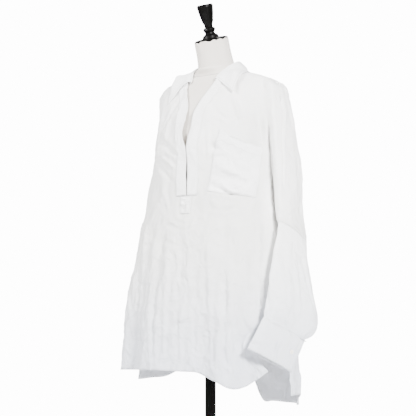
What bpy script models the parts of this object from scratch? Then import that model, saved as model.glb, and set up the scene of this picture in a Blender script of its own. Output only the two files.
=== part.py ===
"""A white overshirt blouse worn by a limbless dress form on a pole stand.

The wearer faces -Y and the wearer's left is +X. The origin is the centre of the
stand's underside. All sizes are in metres.
"""
from collections import namedtuple
from math import cos, pi, radians, sin

import bmesh
import bpy
from mathutils import Matrix, Vector
from mathutils.bvhtree import BVHTree

# Cloth and seams
WALL = 0.0012          # thickness of every cloth wall
SEAM = 0.00035         # gap between two pieces that meet
EASE = 0.0009          # least clearance of the cloth over the form

# Panel grid: columns across half the body and across half the arm fold
BODY_COLUMNS = 11
ARM_COLUMNS = 7

# Heights that the cut gives
YOKE_Z = 1.345         # first level row below the shoulder line
UNDERARM_Z = 0.955     # where the side seam meets the armhole
SLIT_TOP_Z = 0.780     # top of the side slits
PLACKET_END_Z = 1.074  # lower end of the two placket bands
BOX_END_Z = 1.030      # lower end of the boxed patch
PLACKET_WIDTH = 0.033
PLACKET_GAP = 0.0030   # half of the gap between the two closed bands
V_FOOT_Z = 1.198       # where the open neck ends
BUTTON_Z = 1.182       # the one fastened placket button

# Buttons
BUTTON_HALF = 0.0011          # half of their thickness
CUFF_BUTTON_RADIUS = 0.0055
PLACKET_BUTTON_RADIUS = 0.0042
PLACKET_BUTTON_IN = 0.0065    # its centre's distance from the band's edge

# Body sections, one row for each height: half widths on the wearer's left and
# right, depths of the front and the back from the pole's axis, squareness and how
# far behind the axis the sides lie
Section = namedtuple("Section", "z left right front back square rearward")
BODY = (
    Section(0.520, 0.236, 0.257, 0.152, 0.153, 2.6, 0.012),
    Section(0.630, 0.234, 0.255, 0.149, 0.150, 2.6, 0.012),
    Section(0.690, 0.229, 0.252, 0.144, 0.147, 2.6, 0.012),
    Section(0.760, 0.223, 0.246, 0.137, 0.142, 2.6, 0.012),
    Section(0.850, 0.218, 0.238, 0.125, 0.135, 2.6, 0.012),
    Section(0.955, 0.210, 0.218, 0.111, 0.126, 2.5, 0.012),
    Section(1.030, 0.205, 0.209, 0.101, 0.121, 2.4, 0.014),
    Section(1.085, 0.199, 0.202, 0.097, 0.118, 2.4, 0.016),
    Section(1.150, 0.192, 0.186, 0.094, 0.116, 2.4, 0.020),
    Section(1.215, 0.187, 0.179, 0.098, 0.116, 2.4, 0.025),
    Section(1.280, 0.186, 0.179, 0.088, 0.114, 2.3, 0.028),
    Section(1.345, 0.188, 0.184, 0.060, 0.104, 2.1, 0.030),
)

# The arm fold above the underarm, one row for each height: x and y of the front
# valley, the front ridge, the outer side, the overarm seam and the back ones
ArmFold = namedtuple("ArmFold", "z valley ridge outer seam back_outer back_ridge back_valley")
ARM_FOLD = (
    ArmFold(0.985, (0.212, 0.018), (0.228, -0.022), (0.247, 0.010), (0.248, 0.052),
            (0.236, 0.074), (0.224, 0.074), (0.210, 0.045)),
    ArmFold(1.030, (0.198, 0.024), (0.229, -0.021), (0.240, 0.016), (0.238, 0.053),
            (0.228, 0.086), (0.212, 0.098), (0.198, 0.068)),
    ArmFold(1.080, (0.190, 0.024), (0.226, -0.017), (0.235, 0.018), (0.236, 0.054),
            (0.224, 0.089), (0.208, 0.102), (0.190, 0.076)),
    ArmFold(1.150, (0.183, 0.020), (0.220, -0.014), (0.229, 0.020), (0.232, 0.055),
            (0.222, 0.089), (0.204, 0.104), (0.182, 0.080)),
    ArmFold(1.215, (0.178, 0.016), (0.214, -0.012), (0.222, 0.022), (0.224, 0.054),
            (0.212, 0.085), (0.197, 0.098), (0.178, 0.079)),
    ArmFold(1.280, (0.176, 0.008), (0.205, -0.007), (0.210, 0.022), (0.210, 0.050),
            (0.203, 0.078), (0.190, 0.090), (0.174, 0.076)),
    ArmFold(1.345, (0.177, -0.004), (0.193, 0.004), (0.200, 0.020), (0.201, 0.042),
            (0.196, 0.062), (0.186, 0.072), (0.172, 0.066)),
)

# The wearer's right arm fold and armhole hang this much closer and further back
RIGHT_ARM_SHIFT = Vector((0.016, 0.026, 0.0))
RIGHT_HOLE_BACK = 0.012      # the armhole itself only this far back
RIGHT_HOLE_OUT = 0.008       # and its body side this far out
RIGHT_HOLE_IN = 0.004        # and its arm side this far in
HOLE_BODY_X = 0.214          # where the armhole's body side lies, and how wide the
HOLE_TURN = 0.019            # stretch is over which it turns to its arm side
RIGHT_ARM_START_Z = 1.400
RIGHT_ARM_FULL_Z = 1.250
RIGHT_HOLE_TOP_Z = 1.150     # below this the fold comes forward to the armhole
RIGHT_HOLE_FALL = 0.120      # over this drop

# Half width of the open neck at each height, down to the placket gap
OPEN_NECK = ((1.376, 0.046), (1.345, 0.034), (1.320, 0.020), (1.295, 0.012), (1.262, 0.011),
             (1.230, 0.006), (V_FOOT_Z, 0.0012), (1.175, 0.0012), (1.130, PLACKET_GAP),
             (1.095, 0.0025), (PLACKET_END_Z, 0.0012))

# Neckline and shoulder line on the wearer's left, from the open neck to the
# shoulder tip, and the back neckline from the centre back to the shoulder seam
FRONT_NECK = ((0.046, -0.036, 1.3660), (0.059, -0.011, 1.3930), (0.066, 0.036, 1.4120))
BACK_NECK = ((0.000, 0.090, 1.4000), (0.038, 0.079, 1.4040), (0.066, 0.036, 1.4120))
SHOULDER = ((0.066, 0.036, 1.4120), (0.099, 0.034, 1.3990), (0.133, 0.033, 1.3890),
            (0.165, 0.033, 1.3770), (0.181, 0.034, 1.3680), (0.191, 0.036, 1.3600))

# Hem height over the side-to-side place, front and back: wearer's right to left
FRONT_HEM = ((-0.262, 0.624), (-0.200, 0.630), (-0.060, 0.638), (0.060, 0.638),
             (0.125, 0.618), (0.168, 0.600), (0.198, 0.618), (0.226, 0.646))
BACK_HEM = ((-0.272, 0.592), (-0.235, 0.597), (-0.190, 0.620), (-0.120, 0.634), (0.020, 0.628),
            (0.036, 0.606), (0.058, 0.552), (0.100, 0.546), (0.190, 0.546), (0.232, 0.580))

# Where the front panel's slit edge runs: angle forward of the side seam by height
SLIT_EDGE = ((0.600, 20.0), (0.655, 22.0), (0.690, 32.0), (0.720, 26.0), (SLIT_TOP_Z, 0.0),
             (0.960, 0.0))

RIGHT_SLIT_SHARE = 0.2  # how much of that the wearer's right edge has

# Soft vertical folds of the skirt: side (+1 left, -1 right), angle from the centre
# line, width in degrees, depth, and the heights where each one ends
Fold = namedtuple("Fold", "panel side angle width depth top")
FOLDS = (
    Fold("front", 1, 14.0, 10.0, -0.010, 0.98),
    Fold("front", 1, 32.0, 11.0, 0.014, 1.02),
    Fold("front", 1, 52.0, 10.0, -0.012, 0.96),
    Fold("front", -1, 12.0, 11.0, 0.010, 0.98),
    Fold("front", -1, 33.0, 12.0, -0.014, 1.04),
    Fold("front", -1, 56.0, 12.0, 0.009, 1.00),
    Fold("back", 1, 10.0, 12.0, -0.015, 1.25),
    Fold("back", 1, 36.0, 12.0, 0.014, 1.10),
    Fold("back", 1, 60.0, 11.0, -0.014, 1.00),
    Fold("back", -1, 14.0, 12.0, 0.014, 1.25),
    Fold("back", -1, 40.0, 12.0, -0.015, 1.10),
    Fold("back", -1, 64.0, 11.0, 0.004, 1.00),
)

# Sleeve rings, top to bottom: centre, half length and half thickness of the flat
# ring, tilt of its front end upward and turn outward, in degrees
Ring = namedtuple("Ring", "x y z long thick tilt turn")
SLEEVE_LEFT = (
    Ring(0.2435, 0.014, 0.948, 0.056, 0.0140, 25.0, 8.0),
    Ring(0.2490, 0.004, 0.897, 0.064, 0.0155, 21.0, 12.0),
    Ring(0.2560, -0.006, 0.840, 0.070, 0.0175, 19.0, 17.0),
    Ring(0.2610, -0.010, 0.792, 0.075, 0.0195, 20.0, 22.0),
    Ring(0.2590, -0.020, 0.760, 0.074, 0.0185, 23.0, 25.0),
)
CUFF_LEFT = (
    Ring(0.2520, -0.034, 0.7440, 0.0625, 0.0145, 27.0, 26.0),
    Ring(0.2320, -0.069, 0.6690, 0.0650, 0.0150, 27.0, 26.0),
)
SLEEVE_RIGHT = (
    Ring(0.2470, 0.042, 0.934, 0.047, 0.0140, 8.0, 0.0),
    Ring(0.2530, 0.052, 0.890, 0.058, 0.0145, 6.0, -3.0),
    Ring(0.2620, 0.064, 0.838, 0.063, 0.0160, 6.0, -4.0),
    Ring(0.2720, 0.071, 0.792, 0.068, 0.0180, 6.0, -4.0),
    Ring(0.2770, 0.070, 0.758, 0.067, 0.0170, 7.0, -4.0),
)
CUFF_RIGHT = (
    Ring(0.2800, 0.066, 0.7400, 0.0600, 0.0140, 8.0, -4.0),
    Ring(0.2860, 0.056, 0.6560, 0.0630, 0.0145, 8.0, -4.0),
)
# The armhole seam: underarm, inner front, front edge, outer front, overarm seam,
# outer back, back edge, inner back
ARMHOLE = ((0.2140, 0.016, 0.9560), (0.2230, -0.006, 0.9850), (0.2330, -0.024, 1.0060),
           (0.2490, 0.012, 0.9900), (0.2530, 0.052, 0.9680), (0.2470, 0.074, 0.9580),
           (0.2340, 0.080, 0.9540), (0.2210, 0.056, 0.9540))

# Collar on the wearer's left, front end to centre back
STAND_FOOT = ((0.0435, -0.0300, 1.3710), (0.0560, -0.0070, 1.3980), (0.0630, 0.0360, 1.4140),
              (0.0370, 0.0780, 1.4060), (0.0, 0.0890, 1.4030))
COLLAR_FOLD = ((0.0390, -0.0310, 1.3790), (0.0535, -0.0020, 1.4085), (0.0605, 0.0370, 1.4310),
               (0.0370, 0.0760, 1.4340), (0.0, 0.0870, 1.4330))
COLLAR_EDGE = ((0.1100, -0.0470, 1.3360), (0.1080, -0.0080, 1.3700), (0.1000, 0.0400, 1.4020),
               (0.0600, 0.0960, 1.3880), (0.0, 0.1130, 1.3840))
RIGHT_POINT_SHIFT = Vector((0.0110, 0.0, -0.0120))  # its wearer's right point hangs lower

# Chest pocket on the wearer's left: distance along the front from the centre line
# and height of its corners
POCKET_TOP = ((0.086, 1.238), (0.198, 1.188))
POCKET_FOOT = ((0.062, 1.084), (0.184, 1.066))
POCKET_SAG = 0.012     # how far its top edge hangs down in the middle
POCKET_SLACK = 0.0100  # how far its top edge stands off in the middle

# Dress form sections: height, half width, front and back
Form = namedtuple("Form", "z half front back")
FORM = (
    Form(0.7200, 0.140, -0.078, 0.096), Form(0.7350, 0.158, -0.092, 0.110),
    Form(0.7900, 0.170, -0.100, 0.120), Form(0.8600, 0.168, -0.097, 0.118),
    Form(0.9400, 0.152, -0.084, 0.104), Form(1.0300, 0.121, -0.069, 0.078),
    Form(1.1000, 0.129, -0.076, 0.084), Form(1.1700, 0.144, -0.088, 0.096),
    Form(1.2150, 0.147, -0.091, 0.102), Form(1.2700, 0.154, -0.083, 0.106),
    Form(1.3150, 0.167, -0.066, 0.104), Form(1.3450, 0.175, -0.051, 0.096),
    Form(1.3600, 0.175, -0.041, 0.089), Form(1.3720, 0.165, -0.034, 0.084),
    Form(1.3820, 0.144, -0.028, 0.081), Form(1.3910, 0.113, -0.0225, 0.079),
    Form(1.4000, 0.080, -0.0185, 0.0785),
)
NECK_RADIUS = 0.0475
NECK_LEAN = radians(18.0)
NECK_FOOT = Vector((0.0, 0.030, 1.4120))
NECK_HEIGHT = 0.083
CAP_HEIGHT = 0.008
FINIAL_HEIGHT = 0.088
POLE_RADIUS = 0.0140
POLE_TOP_Z = 0.7195
BASE_RADIUS = 0.180
BASE_HEIGHT = 0.026


def clear_scene():
    for item in list(bpy.data.objects):
        bpy.data.objects.remove(item, do_unlink=True)


def material(name, colour, roughness, metallic=0.0):
    made = bpy.data.materials.new(name)
    made.use_nodes = True
    shader = made.node_tree.nodes["Principled BSDF"]
    shader.inputs["Base Color"].default_value = (*colour, 1.0)
    shader.inputs["Roughness"].default_value = roughness
    shader.inputs["Metallic"].default_value = metallic
    return made


def lerp(a, b, share):
    return a + (b - a) * share


def spline(a, b, c, d, share):
    """Catmull-Rom value between b and c."""
    return b + 0.5 * share * (c - a + share * (2 * a - 5 * b + 4 * c - d
                              + share * (3 * (b - c) + d - a)))


def from_table(rows, at):
    """Smooth values of a table, whose first column is the place, at one place."""
    rows = sorted(rows, key=lambda row: row[0])
    at = min(max(at, rows[0][0]), rows[-1][0])
    i = max(k for k in range(len(rows) - 1) if rows[k][0] <= at)
    share = (at - rows[i][0]) / (rows[i + 1][0] - rows[i][0])
    share = share * share * (3.0 - 2.0 * share) * 0.5 + share * 0.5
    return [lerp(p, q, share) for p, q in zip(rows[i][1:], rows[i + 1][1:])]


def curve_through(points, count, closed=False):
    """Evenly spaced points on a smooth curve through the given ones."""
    points = [Vector(p) for p in points]
    n = len(points)
    spans = n if closed else n - 1
    fine = []
    for i in range(spans):
        if closed:
            a, b, c, d = (points[(i + k) % n] for k in (-1, 0, 1, 2))
        else:
            a, b, c, d = (points[min(max(i + k, 0), n - 1)] for k in (-1, 0, 1, 2))
        fine += [spline(a, b, c, d, k / 12) for k in range(12)]
    fine.append(points[0] if closed else points[-1])
    lengths = [0.0]
    for p, q in zip(fine, fine[1:]):
        lengths.append(lengths[-1] + (q - p).length)
    steps = count if closed else count - 1
    out = []
    k = 0
    for i in range(count):
        want = lengths[-1] * i / steps
        while k < len(fine) - 2 and lengths[k + 1] < want:
            k += 1
        share = (want - lengths[k]) / max(lengths[k + 1] - lengths[k], 1e-9)
        out.append(fine[k].lerp(fine[k + 1], share))
    return out


def new_object(name, bm, shade, home):
    mesh = bpy.data.meshes.new(name)
    bm.to_mesh(mesh)
    bm.free()
    mesh.shade_smooth()
    mesh.materials.append(shade)
    made = bpy.data.objects.new(name, mesh)
    home.objects.link(made)
    return made


def sheet(name, grid, shade, home, wall=WALL, closed=False, flip=False, mask=None):
    """A cloth wall on a grid of points: rows of equal length, thickened outward."""
    bm = bmesh.new()
    verts = {}
    for r, row in enumerate(grid):
        for c, point in enumerate(row):
            if point is not None:
                verts[r, c] = bm.verts.new(point)
    columns = len(grid[0])
    for r in range(len(grid) - 1):
        for c in range(columns if closed else columns - 1):
            d = (c + 1) % columns
            corners = [(r, c), (r, d), (r + 1, d), (r + 1, c)]
            if mask and not mask(r, c):
                continue
            if any(key not in verts for key in corners):
                continue
            if flip:
                corners.reverse()
            bm.faces.new([verts[key] for key in corners])
    bmesh.ops.delete(bm, geom=[v for v in bm.verts if not v.link_faces], context="VERTS")
    bmesh.ops.remove_doubles(bm, verts=bm.verts, dist=0.00002)
    bm.normal_update()
    surface = BVHTree.FromBMesh(bm)
    made = new_object(name, bm, shade, home)
    solid = made.modifiers.new("Wall", "SOLIDIFY")
    solid.thickness = wall
    solid.offset = 1.0
    solid.use_quality_normals = True
    return surface


def tree_of(made):
    """Search tree of an object's evaluated surface."""
    deps = bpy.context.evaluated_depsgraph_get()
    deps.update()
    return BVHTree.FromObject(made, deps)


def rest_outside(point, tree, gap):
    """The point, moved out where it lies inside the surface or closer to it than gap."""
    near, normal, _, _ = tree.find_nearest(point)
    depth = (point - near).dot(normal)
    aside = (point - near - normal * depth).length
    if depth < gap and aside < 0.004:
        return point + normal * (gap - depth)
    return point


def clear_between(rows, tree, gap, fixed=lambda r, c: False):
    """Push points out until the middles of the faces between them are clear as well."""
    for r in range(len(rows) - 1):
        for c in range(len(rows[0]) - 1):
            corners = ((r, c), (r, c + 1), (r + 1, c), (r + 1, c + 1))
            if any(rows[i][j] is None or rows[i][j].z < UNDERARM_Z for i, j in corners):
                continue
            for used in ((0, 1, 2, 3), (0, 1), (0, 2), (1, 3), (2, 3), (0, 3), (1, 2)):
                middle = sum((rows[corners[k][0]][corners[k][1]] for k in used), Vector())
                middle /= len(used)
                push = rest_outside(middle, tree, gap) - middle
                for i, j in (corners[k] for k in used):
                    if not fixed(i, j):
                        rows[i][j] = rows[i][j] + push


def body_point(z, angle, side, back):
    """Point of the body section at an angle from the centre line (0) to the side (90)."""
    left, right, front, rear, square, rearward = from_table(BODY, z)
    half = left if side > 0 else right
    depth = rear if back else -front
    turn = radians(angle)
    x = half * sin(turn) ** (2.0 / square)
    y = depth * cos(turn) ** (2.0 / square) if angle < 90.0 else 0.0
    return Vector((side * x, y + rearward * sin(turn), z))


def fold_depth(z, angle, side, back):
    """How far the soft folds stand out or in at one place."""
    total = 0.0
    for fold in FOLDS:
        if (fold.panel == "back") != back or fold.side != side or z > fold.top:
            continue
        across = (angle - fold.angle) / fold.width
        down = min((fold.top - z) / 0.30, 1.0)
        total += fold.depth * down * down * (3 - 2 * down) * max(0.0, 1 - across * across) ** 2
    return total


def half_section(z, side, back):
    """Key points across half the panel at one height: body part and arm part."""
    above = z > UNDERARM_Z
    edge = 0.0
    if not back and z > BOX_END_Z:
        edge = from_table(OPEN_NECK, z)[0] if z >= PLACKET_END_Z else 0.0012
    last = 66.0 if above else 90.0
    if not back and z < SLIT_TOP_Z + 0.02:
        last = 90.0 - from_table(SLIT_EDGE, z)[0] * (1.0 if side > 0 else RIGHT_SLIT_SHARE)
    body = []
    count = 9
    for i in range(count):
        angle = last * i / (count - 1)
        if z < YOKE_Z:
            angle = last * (i / (count - 1)) ** 0.95
        point = body_point(z, angle, side, back)
        out = Vector((point.x, point.y * 1.5, 0.0)).normalized()
        body.append(point + out * fold_depth(z, angle, side, back))
    if edge:
        body = trim_start(body, edge)
    if not above:
        return body, []
    keys = from_arm_table(z, side)
    if back:
        body.append(keys["back_valley"])
        return body, [keys[k] for k in ("back_valley", "back_ridge", "back_outer", "seam")]
    body.append(keys["valley"])
    return body, [keys[k] for k in ("valley", "ridge", "outer", "seam")]


def trim_start(points, x):
    """The curve with its start moved to the given distance from the centre line."""
    sign = 1 if points[-1].x > 0 else -1
    kept = [p for p in points if abs(p.x) > x + 0.002]
    before = [p for p in points if abs(p.x) <= x + 0.002][-1]
    share = (x - abs(before.x)) / max(abs(kept[0].x) - abs(before.x), 1e-6)
    start = before.lerp(kept[0], share)
    start.x = sign * x
    return [start] + kept


def right_arm_shift(z):
    down = (RIGHT_ARM_START_Z - z) / (RIGHT_ARM_START_Z - RIGHT_ARM_FULL_Z)
    shift = RIGHT_ARM_SHIFT * min(max(down, 0.0), 1.0)
    low = min(max((RIGHT_HOLE_TOP_Z - z) / RIGHT_HOLE_FALL, 0.0), 1.0)
    shift.y = lerp(shift.y, RIGHT_HOLE_BACK, low)
    return shift


def from_arm_table(z, side):
    rows = [(row.z, *[v for pair in row[1:] for v in pair]) for row in ARM_FOLD]
    flat = from_table(rows, z)
    out = {}
    shift = Vector()
    if side < 0:
        shift = right_arm_shift(z)
    for i, key in enumerate(ArmFold._fields[1:]):
        inward = 0.0 if "valley" in key else shift.x
        out[key] = Vector((side * flat[2 * i] + inward, flat[2 * i + 1] + shift.y, z))
    return out


# Rows of a panel: how many lie between the shoulder line and the yoke row, the level
# ones down to the armhole, those down to the slits and the shares from there to the hem
YOKE_ROWS = 3
LEVELS = (YOKE_Z, 1.312, 1.280, 1.250, 1.222, 1.195, 1.165, 1.125, PLACKET_END_Z, BOX_END_Z)
MID_ARM_Z = 0.995
SKIRT_LEVELS = (0.915, 0.870, 0.825, SLIT_TOP_Z)
HEM_SHARES = (0.34, 0.68, 1.0)
NECK_COLUMNS = 4


def body_columns(points, front):
    """Points across half a panel; the first ones keep the placket's width."""
    if not front:
        return curve_through(points, BODY_COLUMNS + 1)
    fine = curve_through(points, 121)
    length = sum((q - p).length for p, q in zip(fine, fine[1:]))
    wanted = [0.0, PLACKET_WIDTH / 2, PLACKET_WIDTH]
    rest = BODY_COLUMNS - 2
    wanted += [lerp(PLACKET_WIDTH, length, i / rest) for i in range(1, rest + 1)]
    return [fine[min(int(round(120 * w / length)), 120)] if w else fine[0] for w in wanted]


def level_row(z, side, back):
    """One level row: body points and, above the underarm, arm points."""
    body, arm = half_section(z, side, back)
    row = body_columns(body, not back)
    if arm:
        row += curve_through(arm, ARM_COLUMNS + 1)[1:]
    return row


def mirrored(points, side):
    return [Vector((side * x, y, z)) for x, y, z in points]


def armhole_half(side, back):
    """The armhole seam from the underarm to the overarm seam, front or back half."""
    keys = mirrored(ARMHOLE, side)
    if side < 0:
        turns = [min((-p.x - HOLE_BODY_X) / HOLE_TURN, 1.0) for p in keys]
        moved = [lerp(-RIGHT_HOLE_OUT, RIGHT_HOLE_IN, turn) for turn in turns]
        keys = [p + Vector((x, RIGHT_HOLE_BACK, 0.0)) for p, x in zip(keys, moved)]
    half = [keys[0]] + keys[:3:-1] if back else keys[:5]
    return curve_through(half, ARM_COLUMNS + 1)


def top_row(side, back):
    """The neckline and the shoulder line out to the shoulder tip."""
    neck = curve_through(mirrored(BACK_NECK if back else FRONT_NECK, side), NECK_COLUMNS + 1)
    line = mirrored(SHOULDER, side)
    if side < 0:
        line[4:] = [p + right_arm_shift(p.z) for p in line[4:]]
    inner = curve_through(line[:4], BODY_COLUMNS - NECK_COLUMNS + 1)[1:]
    tip = curve_through(line[3:], ARM_COLUMNS + 1)[1:]
    return neck + inner + tip


def yoke_rows(top, yoke, below, back):
    """Rows that round the shoulder between its top line and the yoke row."""
    rows = []
    for r in range(1, YOKE_ROWS + 1):
        t = r / (YOKE_ROWS + 1)
        row = []
        for c, (p, q, n) in enumerate(zip(top, yoke, below)):
            reach = (q - p).length
            flat = 1.0 - max(c - BODY_COLUMNS, 0) / ARM_COLUMNS
            start = Vector((0.0, flat if back else -flat, 0.35 * flat - 0.6)) * reach
            end = (n - q).normalized() * reach
            upper = 2 * t ** 3 - 3 * t ** 2 + 1
            leave = t ** 3 - 2 * t ** 2 + t
            arrive = t ** 3 - t ** 2
            row.append(p * upper + start * leave + q * (1 - upper) + end * arrive)
        rows.append(row)
    return rows


def hem_height(x, back):
    return from_table(BACK_HEM if back else FRONT_HEM, x)[0]


def skirt_row(share, side, back):
    """A row between the slit tops and the hem, at the same share of each column's drop."""
    row = []
    for c in range(BODY_COLUMNS + 1):
        z = 0.66
        for _ in range(2):
            z = hem_height(level_row(z, side, back)[c].x, back)
        z = lerp(SLIT_TOP_Z, z, share)
        row.append(level_row(z, side, back)[c])
    return row


def panel_half(side, back, form):
    """Rows of points of half a panel, shoulder to hem; None past the side seam."""
    levels = [level_row(z, side, back) for z in LEVELS]
    top = top_row(side, back)
    rows = [top] + yoke_rows(top, levels[0], levels[1], back) + levels
    mid = level_row(MID_ARM_Z, side, back)
    armhole = armhole_half(side, back)
    mid[BODY_COLUMNS + 1:] = [p.lerp(q, 0.5) for p, q in
                              zip(levels[-1][BODY_COLUMNS + 1:], armhole[1:])]
    under = level_row(UNDERARM_Z - 0.0001, side, back)[:BODY_COLUMNS] + armhole
    rows += [mid, under]
    gap = [None] * ARM_COLUMNS
    rows += [level_row(z, side, back) + gap for z in SKIRT_LEVELS]
    rows += [skirt_row(share, side, back) + gap for share in HEM_SHARES]
    for row in rows[1:]:
        for c, p in enumerate(row):
            if p is not None and p.z > UNDERARM_Z:
                row[c] = rest_outside(p, form, EASE)

    def shared(r, c):
        return c == len(rows[0]) - 1 or (r == 0 and c >= NECK_COLUMNS)

    for _ in range(5):
        clear_between(rows, form, EASE, shared)
    part_at_seams(rows)
    return rows


def part_at_seams(rows):
    """Draw the edges back by half a seam gap: shoulder, overarm, side and armhole."""
    last_arm = 1 + YOKE_ROWS + len(LEVELS) + 1
    half_gap = SEAM / 2

    def draw_back(point, inner):
        return point + (inner - point).normalized() * half_gap

    for c in range(NECK_COLUMNS, len(rows[0])):
        rows[0][c] = draw_back(rows[0][c], rows[1][c])
    for r in range(last_arm + 1):
        rows[r][-1] = draw_back(rows[r][-1], rows[r][-2])
    for c in range(BODY_COLUMNS, len(rows[0])):
        rows[last_arm][c] = draw_back(rows[last_arm][c], rows[last_arm - 1][c])
    for r in range(last_arm, len(rows)):
        rows[r][BODY_COLUMNS] = draw_back(rows[r][BODY_COLUMNS], rows[r][BODY_COLUMNS - 1])


def whole_rows(left, right):
    """Rows from the wearer's right edge to the left edge, joined on the centre line."""
    return [list(reversed(r)) + l for l, r in zip(left, right)]


def front_mask(columns):
    """Leaves the slit between the two halves open above the boxed patch."""
    box_row = 1 + YOKE_ROWS + LEVELS.index(BOX_END_Z)

    def keep(r, c):
        return c != columns - 1 or r >= box_row
    return keep


def make_panels(cloth, home, form):
    halves = {}
    for back in (False, True):
        for side in (1, -1):
            halves[back, side] = panel_half(side, back, form)
    columns = BODY_COLUMNS + ARM_COLUMNS + 1
    surfaces = []
    for back, name in ((False, "front"), (True, "back")):
        rows = whole_rows(halves[back, 1], halves[back, -1])
        mask = None if back else front_mask(columns)
        surfaces.append(sheet(name, rows, cloth, home, flip=not back, mask=mask))
    return surfaces, halves


def outward(rows, r, c):
    """Outward normal of a half panel at one of its points (wearer's left is +X)."""
    a = rows[max(r - 1, 0)][c]
    b = rows[min(r + 1, len(rows) - 1)][c]
    p = rows[r][max(c - 1, 0)]
    q = rows[r][min(c + 1, BODY_COLUMNS)]
    normal = (q - p).cross(a - b).normalized()
    return normal if normal.y < 0 else -normal


def make_placket(halves, cloth, home):
    """The two bands along the slit and the boxed patch over its foot."""
    end_row = 1 + YOKE_ROWS + LEVELS.index(PLACKET_END_Z)
    rise = WALL + 2 * SEAM
    bands = []
    for side, name in ((1, "placket_left"), (-1, "placket_right")):
        rows = halves[False, side]
        grid = []
        for r in range(end_row + 1):
            row = [rows[r][c] + outward(rows, r, c) * rise for c in range(3)]
            if r == end_row:
                row = [p + Vector((0, 0, SEAM)) for p in row]
            grid.append(row)
        bands.append(sheet(name, grid, cloth, home, flip=side > 0))
    grid = []
    for r in (end_row, end_row + 1):
        left, right = halves[False, 1], halves[False, -1]
        row = [right[r][c] + outward(right, r, c) * rise for c in (1, 0)]
        row += [left[r][c] + outward(left, r, c) * rise for c in (0, 1)]
        grid.append(row)
    grid.insert(1, [p.lerp(q, 0.5) for p, q in zip(*grid)])
    grid[0] = [p - Vector((0, 0, SEAM)) for p in grid[0]]
    sheet("placket_box", grid, cloth, home, flip=True)
    return bands


def on_front(rows, distance, z):
    """Point of the wearer's left front at a distance from the slit edge and a height."""
    for r in range(1, len(rows) - 1):
        if rows[r][0].z >= z >= rows[r + 1][0].z:
            break
    share = (rows[r][0].z - z) / (rows[r][0].z - rows[r + 1][0].z)
    row = [p.lerp(q, share) for p, q in zip(rows[r][:BODY_COLUMNS + 1], rows[r + 1])]
    run = 0.0
    for p, q in zip(row, row[1:]):
        step = (q - p).length
        if run + step >= distance:
            return p.lerp(q, (distance - run) / step)
        run += step
    return row[-1]


def make_pocket(halves, front_tree, cloth, home):
    """A patch pocket, a little full in the middle, its top edge hanging slack."""
    rows = halves[False, 1]
    count = 8
    grid = []
    for i in range(count + 1):
        v = i / count
        row = []
        for j in range(count + 1):
            u = j / count
            distance = lerp(lerp(POCKET_TOP[0][0], POCKET_TOP[1][0], u),
                            lerp(POCKET_FOOT[0][0], POCKET_FOOT[1][0], u), v)
            top = lerp(POCKET_TOP[0][1], POCKET_TOP[1][1], u) - POCKET_SAG * 0.4 * sin(pi * u)
            foot = lerp(POCKET_FOOT[0][1], POCKET_FOOT[1][1], u)
            point = on_front(rows, distance, lerp(top, foot, v))
            puff = POCKET_SLACK * sin(pi * u) ** 0.7 * (1 - v ** 1.5)
            row.append(rest_outside(point, front_tree, WALL + 0.0009 + puff))
        grid.append(row)
    for _ in range(4):
        clear_between(grid, front_tree, WALL + 0.0008)
    sheet("pocket", grid, cloth, home, flip=True)


def ring_point(ring, turn_at, side, swell=0.0):
    """Point of a sleeve ring: 0 inner side, 90 front end, 180 outer side, 270 back end."""
    tilt = radians(ring.tilt)
    turn = radians(ring.turn)
    long_axis = Vector((sin(turn) * cos(tilt), cos(turn) * cos(tilt), -sin(tilt)))
    across = Vector((cos(turn), -sin(turn), 0.0))
    at = radians(turn_at)
    along = -(ring.long + swell * 0.4) * sin(at)
    out = -(ring.thick + swell) * cos(at)
    out = out if abs(out) > 1e-6 else 0.0
    point = Vector((ring.x, ring.y, ring.z)) + long_axis * along + across * out
    return Vector((side * point.x, point.y, point.z))


OVERARM_TURN = 215.0   # where the overarm seam runs round the sleeve
# Soft folds of a sleeve: where round it, width in degrees and depth at the cuff
SLEEVE_FOLDS = ((70.0, 22.0, 0.003), (118.0, 20.0, -0.006), (150.0, 18.0, 0.004),
                (190.0, 18.0, -0.006), (225.0, 18.0, 0.005), (300.0, 22.0, -0.005))


def sleeve_swell(turn_at, down):
    total = 0.0
    for at, width, depth in SLEEVE_FOLDS:
        across = (turn_at - at) / width
        total += depth * down * max(0.0, 1 - across * across) ** 2
    return total


def ring_turns():
    """Places round a ring that match the panel's armhole columns, a closed round."""
    front = [OVERARM_TURN * i / ARM_COLUMNS for i in range(ARM_COLUMNS + 1)]
    back = [360.0 - (360.0 - OVERARM_TURN) * i / ARM_COLUMNS for i in range(1, ARM_COLUMNS)]
    return front + back[::-1]


def make_sleeve(side, name, rings, cuff, cloth, home):
    front = armhole_half(side, False)
    back = armhole_half(side, True)
    first = front + back[-2:0:-1]
    lower = [ring_point(rings[0], t, side) for t in ring_turns()]
    seam = []
    for k, (p, q) in enumerate(zip(first, lower)):
        along = (first[(k + 1) % len(first)] - first[k - 1]).normalized()
        down = (q - p) - along * along.dot(q - p)
        seam.append(p + down.normalized() * 2 * SEAM)
    first = seam
    first[0] += Vector((side * 0.0032, 0.0, -0.0010))
    grid = [first]
    for i, ring in enumerate(rings):
        down = (i + 1) / len(rings)
        grid.append([ring_point(ring, t, side, sleeve_swell(t, down)) for t in ring_turns()])
    last = [ring_point(cuff[0], t, side) for t in ring_turns()]
    lower = [ring_point(cuff[1], t, side) for t in ring_turns()]
    for gap in (0.004, SEAM):
        grid.append([p - (q - p).normalized() * gap for p, q in zip(last, lower)])
    sheet(name, grid, cloth, home, closed=True, flip=side > 0)


CUFF_LAP_TURN = 228.0  # where the cuff's overlapping end lies
CUFF_LAP = 34.0        # how far the ends lap, in degrees
CUFF_COLUMNS = 20


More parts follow.
